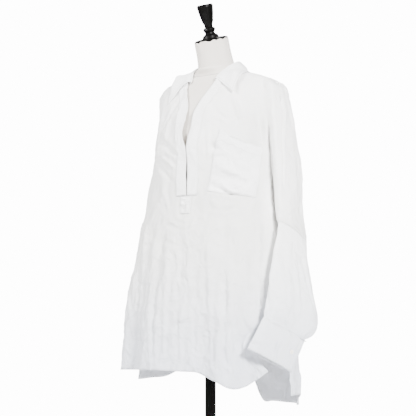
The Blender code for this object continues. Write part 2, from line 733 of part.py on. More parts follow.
def make_cuff(side, name, rings, cloth, home):
    """A band once round the wrist, its outer end lapped over the inner one."""
    grid = []
    for share in (0.0, 0.5, 1.0):
        ring = Ring(*[lerp(p, q, share) for p, q in zip(*rings)])
        row = []
        for i in range(CUFF_COLUMNS + 1):
            done = i / CUFF_COLUMNS
            turn_at = CUFF_LAP_TURN - (360.0 + CUFF_LAP) * done
            lift = -0.0026 * max(0.0, (done - 0.80) / 0.20)
            row.append(ring_point(ring, turn_at, side, 0.0004 + lift))
        grid.append(row)
    return sheet(name, grid, cloth, home, flip=side < 0)


def collar_curve(keys, right_shift=Vector()):
    """The whole curve round the neck, wearer's left front end to the right one."""
    left = mirrored(keys, 1)
    right = mirrored(keys[:-1], -1)
    right[0] += right_shift
    right[1] += right_shift * 0.4
    return curve_through(left + right[::-1], 2 * COLLAR_COLUMNS + 1)


COLLAR_COLUMNS = 11


LEAF_CLEAR = 0.0022  # least space under the leaf

# The collar leaf's rows: share of the way from fold to edge, rise and reach at the fold
LEAF_ROWS = ((0.0, 0.0010, 0.0001), (0.02, 0.0020, 0.0026), (0.10, 0.0008, 0.0050),
             (0.32, 0.0, 0.0060), (0.55, 0.0, 0.0040), (0.78, 0.0, 0.0020), (1.0, 0.0, 0.0))


def make_collar(trees, form, cloth, home):
    """The stand round the neck and the leaf that folds over it."""
    foot = collar_curve(STAND_FOOT)
    fold = collar_curve(COLLAR_FOLD)
    edge = collar_curve(COLLAR_EDGE, RIGHT_POINT_SHIFT)
    for tree in trees:
        foot = [rest_outside(p, tree, WALL + SEAM) for p in foot]
    stand = [fold, [p.lerp(q, 0.5) for p, q in zip(fold, foot)], foot]
    for _ in range(4):
        clear_between(stand, form, 0.0010)
    sheet("collar_stand", stand, cloth, home, flip=True)
    fold, foot = stand[0], stand[-1]
    leaf = []
    for share, rise, reach in LEAF_ROWS:
        row = []
        for c, (p, q) in enumerate(zip(fold, edge)):
            along = fold[min(c + 1, len(fold) - 1)] - fold[max(c - 1, 0)]
            up = (p - foot[c]).normalized()
            out = along.cross(up).normalized()
            row.append(p.lerp(q, share) + out * reach + up * rise)
        leaf.append(row)

    def at_fold(r, c):
        return r < 2

    for _ in range(5):
        for tree in trees:
            clear_between(leaf, tree, WALL + LEAF_CLEAR, at_fold)
        clear_between(leaf, form, WALL + LEAF_CLEAR, at_fold)
    sheet("collar_leaf", leaf, cloth, home, flip=True)


def make_button(name, place, normal, radius, shade, home):
    """A sewn shirt button: a small turned disc with a rim and a dished face."""
    bm = bmesh.new()
    bmesh.ops.create_cone(bm, cap_ends=True, segments=20, radius1=radius * 0.86,
                          radius2=radius, depth=2 * BUTTON_HALF)
    face = max(bm.faces, key=lambda f: f.calc_center_median().z)
    bmesh.ops.inset_individual(bm, faces=[face], thickness=radius * 0.28)
    for vert in face.verts:
        vert.co.z -= 0.0005
    turn = Vector((0, 0, 1)).rotation_difference(normal).to_matrix().to_4x4()
    bmesh.ops.transform(bm, matrix=Matrix.Translation(place) @ turn, verts=bm.verts)
    new_object(name, bm, shade, home)


def turned(name, profile, place, lean, shade, home, steps=32):
    """A turned piece from the (radius, height) points of its outer side, top to bottom."""
    mesh = bpy.data.meshes.new(name)
    verts = [(r, 0.0, z) for r, z in profile]
    mesh.from_pydata(verts, [(i, i + 1) for i in range(len(verts) - 1)], [])
    made = bpy.data.objects.new(name, mesh)
    home.objects.link(made)
    made.location = place
    made.rotation_euler = (lean, 0.0, 0.0)
    screw = made.modifiers.new("Turn", "SCREW")
    screw.steps = steps
    screw.render_steps = steps
    screw.use_merge_vertices = True
    screw.merge_threshold = 0.00005
    mesh.materials.append(shade)
    return made


def make_torso(fabric, home):
    """The padded body and neck of the form, one smooth closed skin."""
    bm = bmesh.new()
    around = 32
    rings = []
    for z, half, front, rear in FORM:
        mid = (front + rear) / 2
        deep = (rear - front) / 2
        ring = [(half * cos(2 * pi * k / around), mid + deep * sin(2 * pi * k / around), z)
                for k in range(around)]
        rings.append(ring)
    up = Vector((0.0, -sin(NECK_LEAN), cos(NECK_LEAN)))
    back_way = Vector((0.0, cos(NECK_LEAN), sin(NECK_LEAN)))
    for share, radius in ((0.02, 0.0560), (0.12, 0.0505), (0.30, NECK_RADIUS), (0.65, 0.0455),
                          (1.0, 0.0450)):
        mid = NECK_FOOT + up * (NECK_HEIGHT * share)
        tilt = min(share * 3.0, 1.0)
        ring = []
        for k in range(around):
            at = 2 * pi * k / around
            flat = Vector((radius * cos(at), radius * sin(at), 0.0))
            leaned = Vector((radius * cos(at), 0, 0)) + back_way * (radius * sin(at))
            ring.append(tuple(mid + flat.lerp(leaned, tilt)))
        rings.append(ring)
    loops = [[bm.verts.new(p) for p in ring] for ring in rings]
    for low, high in zip(loops, loops[1:]):
        for k in range(around):
            n = (k + 1) % around
            bm.faces.new((low[k], low[n], high[n], high[k]))
    bm.faces.new(list(reversed(loops[0])))
    bm.faces.new(loops[-1])
    return new_object("form_torso", bm, fabric, home)


def make_stand(black, home):
    """Neck cap, turned finial, pole and round base."""
    up = Vector((0.0, -sin(NECK_LEAN), cos(NECK_LEAN)))
    cap_foot = NECK_FOOT + up * (NECK_HEIGHT + SEAM)
    cap = ((0.0, CAP_HEIGHT), (0.030, CAP_HEIGHT), (0.042, CAP_HEIGHT - 0.002),
           (0.0450, CAP_HEIGHT - 0.005), (0.0450, 0.0), (0.0, 0.0))
    turned("form_neck_cap", cap, cap_foot, NECK_LEAN, black, home)
    h = FINIAL_HEIGHT
    finial = ((0.0, h), (0.018, h), (0.0212, h - 0.003), (0.0215, h - 0.007),
              (0.0195, h - 0.022), (0.0150, h - 0.045), (0.0112, 0.034), (0.0108, 0.028),
              (0.0150, 0.0250), (0.0165, 0.0215), (0.0150, 0.0180), (0.0125, 0.0150),
              (0.0130, 0.0110), (0.0200, 0.0060), (0.0220, 0.0), (0.0, 0.0))
    turned("form_finial", finial, cap_foot + up * (CAP_HEIGHT + SEAM), NECK_LEAN, black, home)
    r = POLE_RADIUS
    pole = ((0.0, POLE_TOP_Z), (r, POLE_TOP_Z), (r, BASE_HEIGHT + SEAM), (0.0, BASE_HEIGHT + SEAM))
    turned("stand_pole", pole, (0, 0, 0), 0.0, black, home, steps=24)
    b = BASE_RADIUS
    base = ((0.0, BASE_HEIGHT), (0.026, BASE_HEIGHT), (0.030, BASE_HEIGHT - 0.004),
            (0.060, 0.017), (b - 0.012, 0.012), (b - 0.003, 0.009), (b, 0.005), (b, 0.0),
            (0.0, 0.0))
    turned("stand_base", base, (0, 0, 0), 0.0, black, home, steps=48)


def seat_button(name, place, surface, radius, shade, home):
    """A button just clear of the outer face of the cloth nearest to a place."""
    near, normal, _, _ = surface.find_nearest(place)
    make_button(name, near + normal * (WALL + SEAM + BUTTON_HALF), normal, radius, shade, home)


def make_buttons(cuffs, halves, bands, shade, home):
    """One on the lap of each cuff and the one fastened on the wearer's right band."""
    for side, name, rings, surface in ((1, "button_cuff_left", CUFF_LEFT, cuffs[0]),
                                       (-1, "button_cuff_right", CUFF_RIGHT, cuffs[1])):
        ring = Ring(*[lerp(p, q, 0.5) for p, q in zip(*rings)])
        place = ring_point(ring, CUFF_LAP_TURN - 14.0, side, 0.003)
        seat_button(name, place, surface, CUFF_BUTTON_RADIUS, shade, home)
    edge = on_front(halves[False, -1], PLACKET_BUTTON_IN, BUTTON_Z)
    seat_button("button_placket", edge, bands[1], PLACKET_BUTTON_RADIUS, shade, home)


def main():
    clear_scene()
    home = bpy.data.collections.new("blouse_on_dress_form")
    bpy.context.scene.collection.children.link(home)
    linen = material("white_linen", (0.86, 0.86, 0.87), 0.85)
    fabric = material("form_fabric", (0.74, 0.70, 0.66), 0.9)
    black = material("black_lacquer", (0.012, 0.011, 0.011), 0.35)
    shell = material("button_shell", (0.84, 0.81, 0.76), 0.3)
    torso = make_torso(fabric, home)
    form = tree_of(torso)
    make_stand(black, home)
    trees, halves = make_panels(linen, home, form)
    bands = make_placket(halves, linen, home)
    make_pocket(halves, trees[0], linen, home)
    cuffs = []
    for side, word, rings, cuff in ((1, "left", SLEEVE_LEFT, CUFF_LEFT),
                                    (-1, "right", SLEEVE_RIGHT, CUFF_RIGHT)):
        make_sleeve(side, "sleeve_" + word, rings, cuff, linen, home)
        cuffs.append(make_cuff(side, "cuff_" + word, cuff, linen, home))
    make_collar(trees + bands, form, linen, home)
    make_buttons(cuffs, halves, bands, shell, home)


main()
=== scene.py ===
from math import cos, pi, radians, sin

import bmesh
import bpy
import numpy as np
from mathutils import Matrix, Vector, noise
from mathutils.bvhtree import BVHTree
from mathutils.kdtree import KDTree


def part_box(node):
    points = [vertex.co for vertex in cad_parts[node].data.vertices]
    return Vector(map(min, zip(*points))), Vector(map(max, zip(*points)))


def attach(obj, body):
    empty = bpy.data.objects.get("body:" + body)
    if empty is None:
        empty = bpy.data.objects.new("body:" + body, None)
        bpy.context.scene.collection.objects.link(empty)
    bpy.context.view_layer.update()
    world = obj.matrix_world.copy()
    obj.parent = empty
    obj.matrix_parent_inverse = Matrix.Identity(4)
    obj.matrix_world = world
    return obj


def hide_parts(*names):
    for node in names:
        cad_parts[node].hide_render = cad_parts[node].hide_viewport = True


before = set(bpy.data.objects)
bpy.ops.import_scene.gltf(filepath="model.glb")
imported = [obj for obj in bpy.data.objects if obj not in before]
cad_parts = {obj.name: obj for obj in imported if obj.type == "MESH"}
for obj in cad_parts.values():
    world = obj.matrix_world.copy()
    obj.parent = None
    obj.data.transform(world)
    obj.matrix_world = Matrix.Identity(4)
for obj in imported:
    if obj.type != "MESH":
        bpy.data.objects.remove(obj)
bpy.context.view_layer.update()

# The studio: a camera at hip height, 38 degrees to the wearer's left of the front, a
# small soft light on each side of it, a weak wide one behind, and a pale floor in a
# white room that is faint as a light and bright as a backdrop.
CAMERA_TURN = radians(38.0)
CAMERA_RISE = radians(-4.1)
CAMERA_AWAY = 2.807
LOOK_AT = Vector((-0.005, -0.004, 1.050))
VIEW_WIDTH = 1.082
SENSOR_WIDTH = 36.0
LIGHTS = (              # name, place, what it aims at, size in m and power in W
    ("key_light", (-1.9, -2.6, 3.0), (0.0, 0.0, 1.1), 0.6, 430.0),
    ("fill_light", (3.3, -1.7, 2.4), (0.1, 0.0, 1.1), 0.7, 680.0),
    ("back_light", (-0.8, 3.0, 2.6), (0.0, 0.0, 1.1), 2.4, 160.0),
)
ROOM_LIGHT = 0.38       # the room's strength as a light
ROOM_SEEN = 14.0        # and as the camera sees it
FLOOR_RADIUS = 2.4
FLOOR_Z = -0.001        # just under the stand's foot

bpy.ops.object.select_all(action="DESELECT")
toward = Vector((sin(CAMERA_TURN) * cos(CAMERA_RISE), -cos(CAMERA_TURN) * cos(CAMERA_RISE),
                 sin(CAMERA_RISE)))
bpy.ops.object.camera_add(location=LOOK_AT + toward * CAMERA_AWAY)
camera = bpy.context.object
camera.rotation_euler = (pi / 2 - CAMERA_RISE, 0.0, CAMERA_TURN)
camera.data.sensor_width = SENSOR_WIDTH
camera.data.lens = SENSOR_WIDTH * CAMERA_AWAY / VIEW_WIDTH
bpy.context.scene.camera = camera

for name, place, aim, size, power in LIGHTS:
    bpy.ops.object.light_add(type="AREA", location=place)
    lamp = bpy.context.object
    lamp.name = name
    lamp.rotation_euler = (Vector(aim) - Vector(place)).to_track_quat("-Z", "Y").to_euler()
    lamp.data.size = size
    lamp.data.energy = power

room = bpy.context.scene.world or bpy.data.worlds.new("room")
bpy.context.scene.world = room
room.use_nodes = True
nodes, links = room.node_tree.nodes, room.node_tree.links
lighting = nodes["Background"]
backdrop = nodes.new("ShaderNodeBackground")
for shade, strength in ((lighting, ROOM_LIGHT), (backdrop, ROOM_SEEN)):
    shade.inputs["Color"].default_value = (1.0, 1.0, 1.0, 1.0)
    shade.inputs["Strength"].default_value = strength
seen = nodes.new("ShaderNodeLightPath")
either = nodes.new("ShaderNodeMixShader")
links.new(seen.outputs["Is Camera Ray"], either.inputs[0])
links.new(lighting.outputs[0], either.inputs[1])
links.new(backdrop.outputs[0], either.inputs[2])
links.new(either.outputs[0], nodes["World Output"].inputs[0])


class Value:
    """One shader socket, used in expressions like a number."""

    def __init__(self, tree, socket=None):
        self.tree, self.socket = tree, socket

    def node(self, kind, settings, inputs, out=0):
        """Another node: its settings first, then its inputs, and the output asked for."""
        made = self.tree.nodes.new(kind)
        for key, setting in settings.items():
            setattr(made, key, setting)
        for key, value in inputs.items():
            if isinstance(value, Value):
                self.tree.links.new(value.socket, made.inputs[key])
            else:
                made.inputs[key].default_value = value
        return Value(self.tree, made.outputs[out])

    def math(self, operation, *values):
        return self.node("ShaderNodeMath", {"operation": operation}, dict(enumerate(values)))

    def __add__(self, other):
        return self.math("ADD", self, other)

    def __sub__(self, other):
        return self.math("SUBTRACT", self, other)

    def __rsub__(self, other):
        return self.math("SUBTRACT", other, self)

    def __mul__(self, other):
        return self.math("MULTIPLY", self, other)

    __radd__ = __add__
    __rmul__ = __mul__

    def size(self):
        return self.math("ABSOLUTE", self)

    def within(self, low, high):
        """0 below low, 1 above high, smooth between."""
        return self.node("ShaderNodeMapRange", {"interpolation_type": "SMOOTHSTEP"},
                         {"Value": self, "From Min": low, "From Max": high})

    def stretched(self, x, y, z):
        """A place with its three axes scaled, so that a pattern on it is drawn out."""
        return self.node("ShaderNodeVectorMath", {"operation": "MULTIPLY"},
                         {0: self, 1: (x, y, z)})

    def speckle(self, scale, detail=2.0, rough=0.5, bend=0.0):
        return self.node("ShaderNodeTexNoise", {},
                         {"Vector": self, "Scale": scale, "Detail": detail,
                          "Roughness": rough, "Distortion": bend})

    def blend(self, first, second):
        """The mix of two colours by this value."""
        return self.node("ShaderNodeMix", {"data_type": "RGBA"}, {0: self, 6: first, 7: second},
                         out=2)

    def bump(self, strength, distance, under=None):
        inputs = {"Height": self, "Strength": strength, "Distance": distance}
        if under:
            inputs["Normal"] = under
        return self.node("ShaderNodeBump", {}, inputs)

    def axes(self, *axes):
        """The numbers that a place has along some of its axes."""
        made = self.tree.nodes.new("ShaderNodeSeparateXYZ")
        self.tree.links.new(self.socket, made.inputs[0])
        return [Value(self.tree, made.outputs[axis]) for axis in axes]


def new_finish(name):
    """A new material, its shader node and the place on the object, for expressions."""
    made = bpy.data.materials.new(name)
    made.use_nodes = True
    shader = made.node_tree.nodes["Principled BSDF"]
    return made, shader, Value(made.node_tree).node("ShaderNodeTexCoord", {}, {}, "Object")


def join(value, shader, socket):
    """Let an expression feed one input of the material's shader."""
    value.tree.links.new(value.socket, shader.inputs[socket])


def floor_paint():
    made, shader, place = new_finish("floor_paint")
    grain = place.speckle(6.0, 3.0)
    join(grain.blend((0.86, 0.86, 0.86, 1.0), (0.89, 0.89, 0.89, 1.0)), shader, "Base Color")
    shader.inputs["Roughness"].default_value = 0.7
    return made


bpy.ops.object.select_all(action="DESELECT")
bpy.ops.mesh.primitive_circle_add(vertices=96, radius=FLOOR_RADIUS, fill_type="NGON",
                                  location=(0.0, 0.0, FLOOR_Z))
floor = bpy.context.object
floor.name = "floor"
floor.data.materials.append(floor_paint())


# The stand: a steel tube and a cast round base under black satin lacquer, with the
# turned wooden cap and finial on the neck in the same finish. The tube screws into
# the base, and the finial is screwed down through the cap.
def black_lacquer():
    made, shader, place = new_finish("satin_black_lacquer")
    dust = place.speckle(9.0, 6.0, 0.65)
    grain = place.stretched(60.0, 60.0, 9.0).speckle(6.0, 3.0)
    join(dust.within(0.45, 0.8).blend((0.0016, 0.0015, 0.0014, 1.0), (0.0040, 0.0038, 0.0036, 1)),
         shader, "Base Color")
    join(0.26 + 0.16 * dust + 0.05 * grain, shader, "Roughness")
    join((grain * 0.6 + place.speckle(420.0, 2.0) * 0.4).bump(0.12, 0.0006), shader, "Normal")
    shader.inputs["Specular IOR Level"].default_value = 0.07
    return made


lacquer = black_lacquer()
for name in ("stand_base", "stand_pole", "form_neck_cap", "form_finial"):
    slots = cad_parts[name].data.materials
    slots.clear()
    slots.append(lacquer)


# The body form: padded, covered in one skin of off-white cotton jersey, with a sewn
# seam round the foot of the neck. It is smooth and whole, and the blouse rests on it.
NECK_SEAM_AT = Vector((0.0, 0.030, 1.4115))
NECK_LEAN = radians(18.0)
SAME_POINT = 0.00003    # loose triangle corners closer than this are one point


def joined_copy(name, node):
    """A working copy of a CAD node, its loose triangles merged and joined into quads."""
    bpy.ops.object.select_all(action="DESELECT")
    made = bpy.data.objects.new(name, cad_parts[node].data.copy())
    bpy.context.scene.collection.objects.link(made)
    bpy.context.view_layer.objects.active = made
    made.select_set(True)
    bpy.ops.object.mode_set(mode="EDIT")
    bpy.ops.mesh.select_all(action="SELECT")
    bpy.ops.mesh.remove_doubles(threshold=SAME_POINT)
    bpy.ops.mesh.tris_convert_to_quads(face_threshold=radians(70), shape_threshold=pi)
    bpy.ops.object.mode_set(mode="OBJECT")
    made.data.materials.clear()
    return made


def spots(mesh):
    """Where a mesh's points are, one row each; facing gives their normals likewise."""
    flat = np.empty(len(mesh.vertices) * 3)
    mesh.vertices.foreach_get("co", flat)
    return flat.reshape(-1, 3)


def set_spots(mesh, places):
    mesh.vertices.foreach_set("co", np.ascontiguousarray(places).ravel())
    mesh.update()


def facing(mesh):
    flat = np.empty(len(mesh.vertices) * 3)
    mesh.vertex_normals.foreach_get("vector", flat)
    return flat.reshape(-1, 3)


def add_subdivision(made, levels):
    finer = made.modifiers.new("Subdivision", "SUBSURF")
    finer.levels = levels
    finer.render_levels = levels
    finer.boundary_smooth = "PRESERVE_CORNERS"
    return finer


def apply_all(made):
    bpy.context.view_layer.objects.active = made
    for item in list(made.modifiers):
        bpy.ops.object.modifier_apply(modifier=item.name)


def smooth_through(made, levels):
    """Subdivide smoothly, so that the surface still runs through its own points."""
    want = spots(made.data)
    cage = want.copy()      # pushed out by what the smoothing takes off
    finer = add_subdivision(made, 2)
    for _ in range(4):
        deps = bpy.context.evaluated_depsgraph_get()
        shown = made.evaluated_get(deps).to_mesh()
        cage += (want - spots(shown)[:len(want)]) * 0.9
        set_spots(made.data, cage)
    made.modifiers.remove(finer)
    add_subdivision(made, levels)
    apply_all(made)
    made.data.shade_smooth()


def form_jersey():
    made, shader, place = new_finish("form_jersey")
    knit = place.stretched(700.0, 700.0, 500.0).speckle(1.0, 2.0)
    cloud = place.speckle(14.0, 4.0)
    y, z = place.axes(1, 2)
    up = (y - NECK_SEAM_AT.y) * -sin(NECK_LEAN) + (z - NECK_SEAM_AT.z) * cos(NECK_LEAN)
    seam = 1.0 - up.size().within(0.0004, 0.0016)
    skin = cloud.blend((0.60, 0.555, 0.500, 1.0), (0.65, 0.61, 0.56, 1.0))
    join(seam.blend(skin, (0.42, 0.39, 0.36, 1.0)), shader, "Base Color")
    under = (1.0 - seam).bump(0.8, 0.0008)
    join((knit + cloud * 0.5).bump(0.35, 0.0005, under), shader, "Normal")
    join(0.78 + 0.14 * cloud, shader, "Roughness")
    shader.inputs["Sheen Weight"].default_value = 0.25
    return made


torso = joined_copy("body_form", "form_torso")
smooth_through(torso, 2)
torso.data.materials.append(form_jersey())
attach(torso, "root")
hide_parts("form_torso")


# The front: one wide panel of light linen with a centre slit, its shoulders dropped
# to the elbows. It is cut flat, joined along the shoulders and sides, and hemmed; the
# cloth hangs from the bust and shoulders in soft creases.
CLOTH_THICK = 0.0010
NEAR_FORM = 0.0260      # cloth closer to the form than this is backed by it, and less hollow shade is painted on it
RIM_WIDE = 0.0016       # a rim face is narrower than this
RIM_TURN = 0.9          # and meets a face beside it at more than this angle


def outer_face(made, centre):
    """Keep the outer one of the two faces of a cloth solid: its rim and inner face go."""
    mesh = bmesh.new()
    mesh.from_mesh(made.data)
    mesh.normal_update()
    rim = []
    for face in mesh.faces:
        longest = max(edge.calc_length() for edge in face.edges)
        if face.calc_area() > RIM_WIDE * longest:
            continue
        if any(edge.calc_face_angle(0.0) > RIM_TURN for edge in face.edges):
            rim.append(face)
    bmesh.ops.delete(mesh, geom=rim, context="FACES")
    waiting = set(mesh.faces)
    sides = []
    while waiting:
        side = {waiting.pop()}
        fresh = list(side)
        while fresh:
            for edge in fresh.pop().edges:
                for near in edge.link_faces:
                    if near in waiting:
                        waiting.remove(near)
                        side.add(near)
                        fresh.append(near)
        sides.append(side)
    sides.sort(key=len, reverse=True)
    middle = Vector(centre)

    def outward(side):
        total = 0.0
        for face in side:
            away = face.calc_center_median() - middle
            away.z *= 0.3       # the cloth stands round an upright line
            total += face.calc_area() * face.normal.dot(away)
        return total

    keep = max(sides[:2], key=outward)
    bmesh.ops.delete(mesh, geom=[f for f in mesh.faces if f not in keep], context="FACES")
    bmesh.ops.delete(mesh, geom=[v for v in mesh.verts if not v.link_faces], context="VERTS")
    mesh.to_mesh(made.data)
    mesh.free()


def skin_of(made):
    deps = bpy.context.evaluated_depsgraph_get()
    deps.update()
    return BVHTree.FromObject(made, deps)


# One crease: the side it is drawn from (front, back, left, right), its points as
# (x, height) or (y, height), how wide it is and how far it stands out (or in, below
# 0), all in millimetres
FRONT_CREASES = (
    ("front", ((-82, 1000), (-77, 812), (-67, 640)), 17, -5),
    ("front", ((-5, 950), (2, 813), (10, 651)), 13, -2.6),
    ("front", ((105, 1040), (132, 838), (154, 612)), 16, -5.2),
    ("front", ((186, 1060), (196, 880), (200, 790)), 13, -4.5),
    ("front", ((72, 985), (95, 814), (110, 641)), 12, 3.2),
    ("front", ((156, 1000), (169, 814), (179, 620)), 14, 3.6),
    ("front", ((-45, 960), (-39, 813), (-28, 650)), 13, 3.4),
    ("front", ((-159, 1035), (-146, 837), (-145, 653)), 15, 4),
    ("front", ((-120, 1000), (-112, 850), (-104, 700)), 9, -2),
    ("front", ((45, 900), (50, 780), (58, 660)), 9, -1.8),
    ("front", ((-130, 1236), (-70, 1205), (-24, 1176)), 13, -5),
    ("front", ((-140, 1205), (-80, 1172), (-30, 1142)), 10, 3),
    ("front", ((-135, 1175), (-85, 1140), (-36, 1105)), 10, -2.8),
    ("front", ((-110, 1118), (-80, 1080), (-52, 1030)), 10, 2),
    ("front", ((-76, 1008), (-8, 989), (47, 999)), 7, -2),
    ("front", ((-80, 968), (-9, 946), (51, 956)), 6, -1.6),
    ("front", ((-40, 1024), (10, 1012), (62, 1022)), 6, 1.2),
    ("front", ((60, 1050), (100, 1035), (150, 1040)), 8, -2.4),
    ("front", ((30, 1340), (70, 1290), (120, 1255)), 10, -2.2),
    ("front", ((46, 1300), (60, 1230), (62, 1150)), 9, 1.6),
    ("front", ((-60, 1330), (-85, 1280), (-130, 1245)), 10, -2.6),
    ("front", ((-150, 1320), (-160, 1230), (-165, 1120)), 10, -3),
    ("front", ((64, 1200), (97, 1186), (122, 1170)), 9, -6),
    ("front", ((64, 1104), (106, 1082), (144, 1066)), 10, -7),
    ("front", ((78, 1160), (120, 1132), (164, 1110)), 17, 6.5),
    ("front", ((98, 1345), (120, 1300), (140, 1250)), 11, 3),
    ("front", ((160, 1338), (170, 1260), (175, 1185)), 17, -4.8),
    ("front", ((-164, 1325), (-177, 1240), (-181, 1150)), 16, -3.6),
    ("left", ((32, 1332), (19, 1263), (3, 1185), (-8, 1080)), 6.2, -6.4),
    ("left", ((18, 1335), (6, 1261), (-9, 1159), (-14, 1070)), 6, 2),
    ("left", ((-30, 1040), (0, 975), (12, 900)), 10, -3.5),
    ("right", ((50, 1320), (40, 1240), (24, 1150)), 6, -3.5),
    ("right", ((-20, 930), (-30, 830), (-34, 700)), 14, -4),
)
PATH_STEPS = 24
CREASE_GAIN = 1.5       # cloth this light takes its creases deeply
VIEW_FROM = {"front": ((0, -1, 0), 0), "back": ((0, 1, 0), 0),
             "left": ((1, 0, 0), 1), "right": ((-1, 0, 0), 1)}


def drawn(side, points, skin):
    """The crease as a smooth line of points on the cloth, with its outward side."""
    away, axis = VIEW_FROM[side]
    away = Vector(away)
    path = []
    rows = [Vector() for _ in points]
    for row, (across, height) in zip(rows, points):
        row[axis] = across / 1000
        row.z = height / 1000
    count = len(rows)
    for step in range(PATH_STEPS + 1):
        at = step / PATH_STEPS * (count - 1)
        k = min(int(at), count - 2)
        t = at - k
        a, b, c, d = (rows[min(max(k + i, 0), count - 1)] for i in (-1, 0, 1, 2))
        spot = b + 0.5 * t * (c - a + t * (2 * a - 5 * b + 4 * c - d + t * (3 * (b - c) + d - a)))
        hit = skin.ray_cast(spot + away, -away)[0]
        path.append(hit if hit else path[-1] if path else spot)
    return np.array([tuple(p) for p in path]), np.array(away)


def eased(share):
    """A share from 0 to 1 that starts and ends gently."""
    return share * share * (3.0 - 2.0 * share)


def crease_shift(places, normals, creases, skin):
    """How far each point moves along its normal for the listed creases."""
    total = np.zeros(len(places))
    for side, points, width, depth in creases:
        path, away = drawn(side, points, skin)
        width, depth = width / 1000, depth / 1000
        best = np.full(len(places), 1.0)
        along = np.zeros(len(places))
        for k, (p, q) in enumerate(zip(path, path[1:])):
            line = q - p
            length = max(float(line @ line), 1e-12)
            t = np.clip((places - p) @ line / length, 0.0, 1.0)
            gap = np.linalg.norm(places - p - t[:, None] * line, axis=1)
            closer = gap < best
            best[closer] = gap[closer]
            along[closer] = (k + t[closer]) / (len(path) - 1)
        # it runs out over a quarter of its length, and its depth and width waver
        ends = eased(np.clip(np.minimum(along, 1.0 - along) * 4.0, 0.0, 1.0))
        uneven = 0.75 + 0.25 * np.sin(along * 9.0 + width * 900.0)
        t = best / (width * (0.8 + 0.3 * np.sin(along * 5.0 + 1.0)))
        # across, it has a weaker swell the other way on each side
        shape = np.exp(-2.0 * t * t) - 0.3 * np.exp(-2.0 * (t - 1.7) ** 2)
        # cloth that faces away from the side it is drawn from has none of it
        shown = np.clip(normals @ away * 3.0 + 0.6, 0.0, 1.0)
        total += depth * shape * ends * uneven * shown
    return total * CREASE_GAIN


def crumple(places, amount, grain, stretch, seed):
    """Uneven soft ridges over the whole cloth; grain is their width.

    A ridge runs where the bent noise is near zero, over a broad rise and fall."""
    shift = Vector((seed * 3.1, seed * 1.7, seed * 2.3))
    out = np.empty(len(places))
    for i, (x, y, z) in enumerate(places):
        spot = Vector((x, y, z * stretch)) / grain + shift
        bend = noise.noise(spot * 0.45) * 1.3
        wave = noise.noise(spot + Vector((bend, -bend, bend)))
        out[i] = (1.0 - 2.4 * abs(wave)) * 0.6 + noise.noise(spot * 0.5) * 0.8
    return out * amount


LAY_REACH = 0.02        # how far a point looks for the surface under it
LAY_ASIDE = 0.003       # one that lies further than this beside the surface stays


def lay_over(places, skin, gap):
    """Move points that lie closer to the surface under them than gap out to it."""
    moved = places.copy()
    for i, spot in enumerate(places):
        near, normal, _, _ = skin.find_nearest(Vector(spot), LAY_REACH)
        if near is None:
            continue
        off = Vector(spot) - near
        height = off.dot(normal)
        if height < gap and (off - normal * height).length < LAY_ASIDE:
            moved[i] = near + normal * gap if height < 0 else Vector(spot) + normal * (gap - height)
    return moved


def mark_near_form(made, skin):
    """Paint how close the cloth lies to the form, from 0 to 1, for its material, which paints a
    hollow's shade where it is low.
    """
    marks = made.data.attributes.new("near_form", "FLOAT", "POINT")
    gaps = [skin.find_nearest(vertex.co, NEAR_FORM)[3] for vertex in made.data.vertices]
    marks.data.foreach_set("value", [0.0 if gap is None else max(0.0, 1.0 - gap / NEAR_FORM)
                                     for gap in gaps])


# The linen's tones, lit and in a painted cool shade towards the hem: with cloth or
# the form behind it, or one layer over a hollow, painted with the hollow's shade. Clouds,
# threads and the painted shadow along each seam come on top.
COOL_Z = (1.00, 0.62)       # where the painted cool shade starts and is full
LINEN_LIT = (0.885, 0.885, 0.885, 1.0)
LINEN_COOL = (0.570, 0.594, 0.660, 1.0)
HOLLOW_SHADE_LIT = (0.715, 0.712, 0.692, 1.0)
HOLLOW_SHADE_COOL = (0.560, 0.582, 0.645, 1.0)
BACKED = (0.865, 0.856, 0.845, 1.0)
ARM_X = (0.176, 0.202)      # cloth out past this and above ARM_Z is backed, and gets no painted hollow shade
ARM_Z = (0.97, 1.05)
CLOUD = (0.862, 0.858, 0.850, 1.0)
THREADS = (0.70, 0.70, 0.70, 1.0)
# the painted shadow of the groove along a sewn line
SEWN_LINE_SHADOW = (0.62, 0.61, 0.60, 1.0)


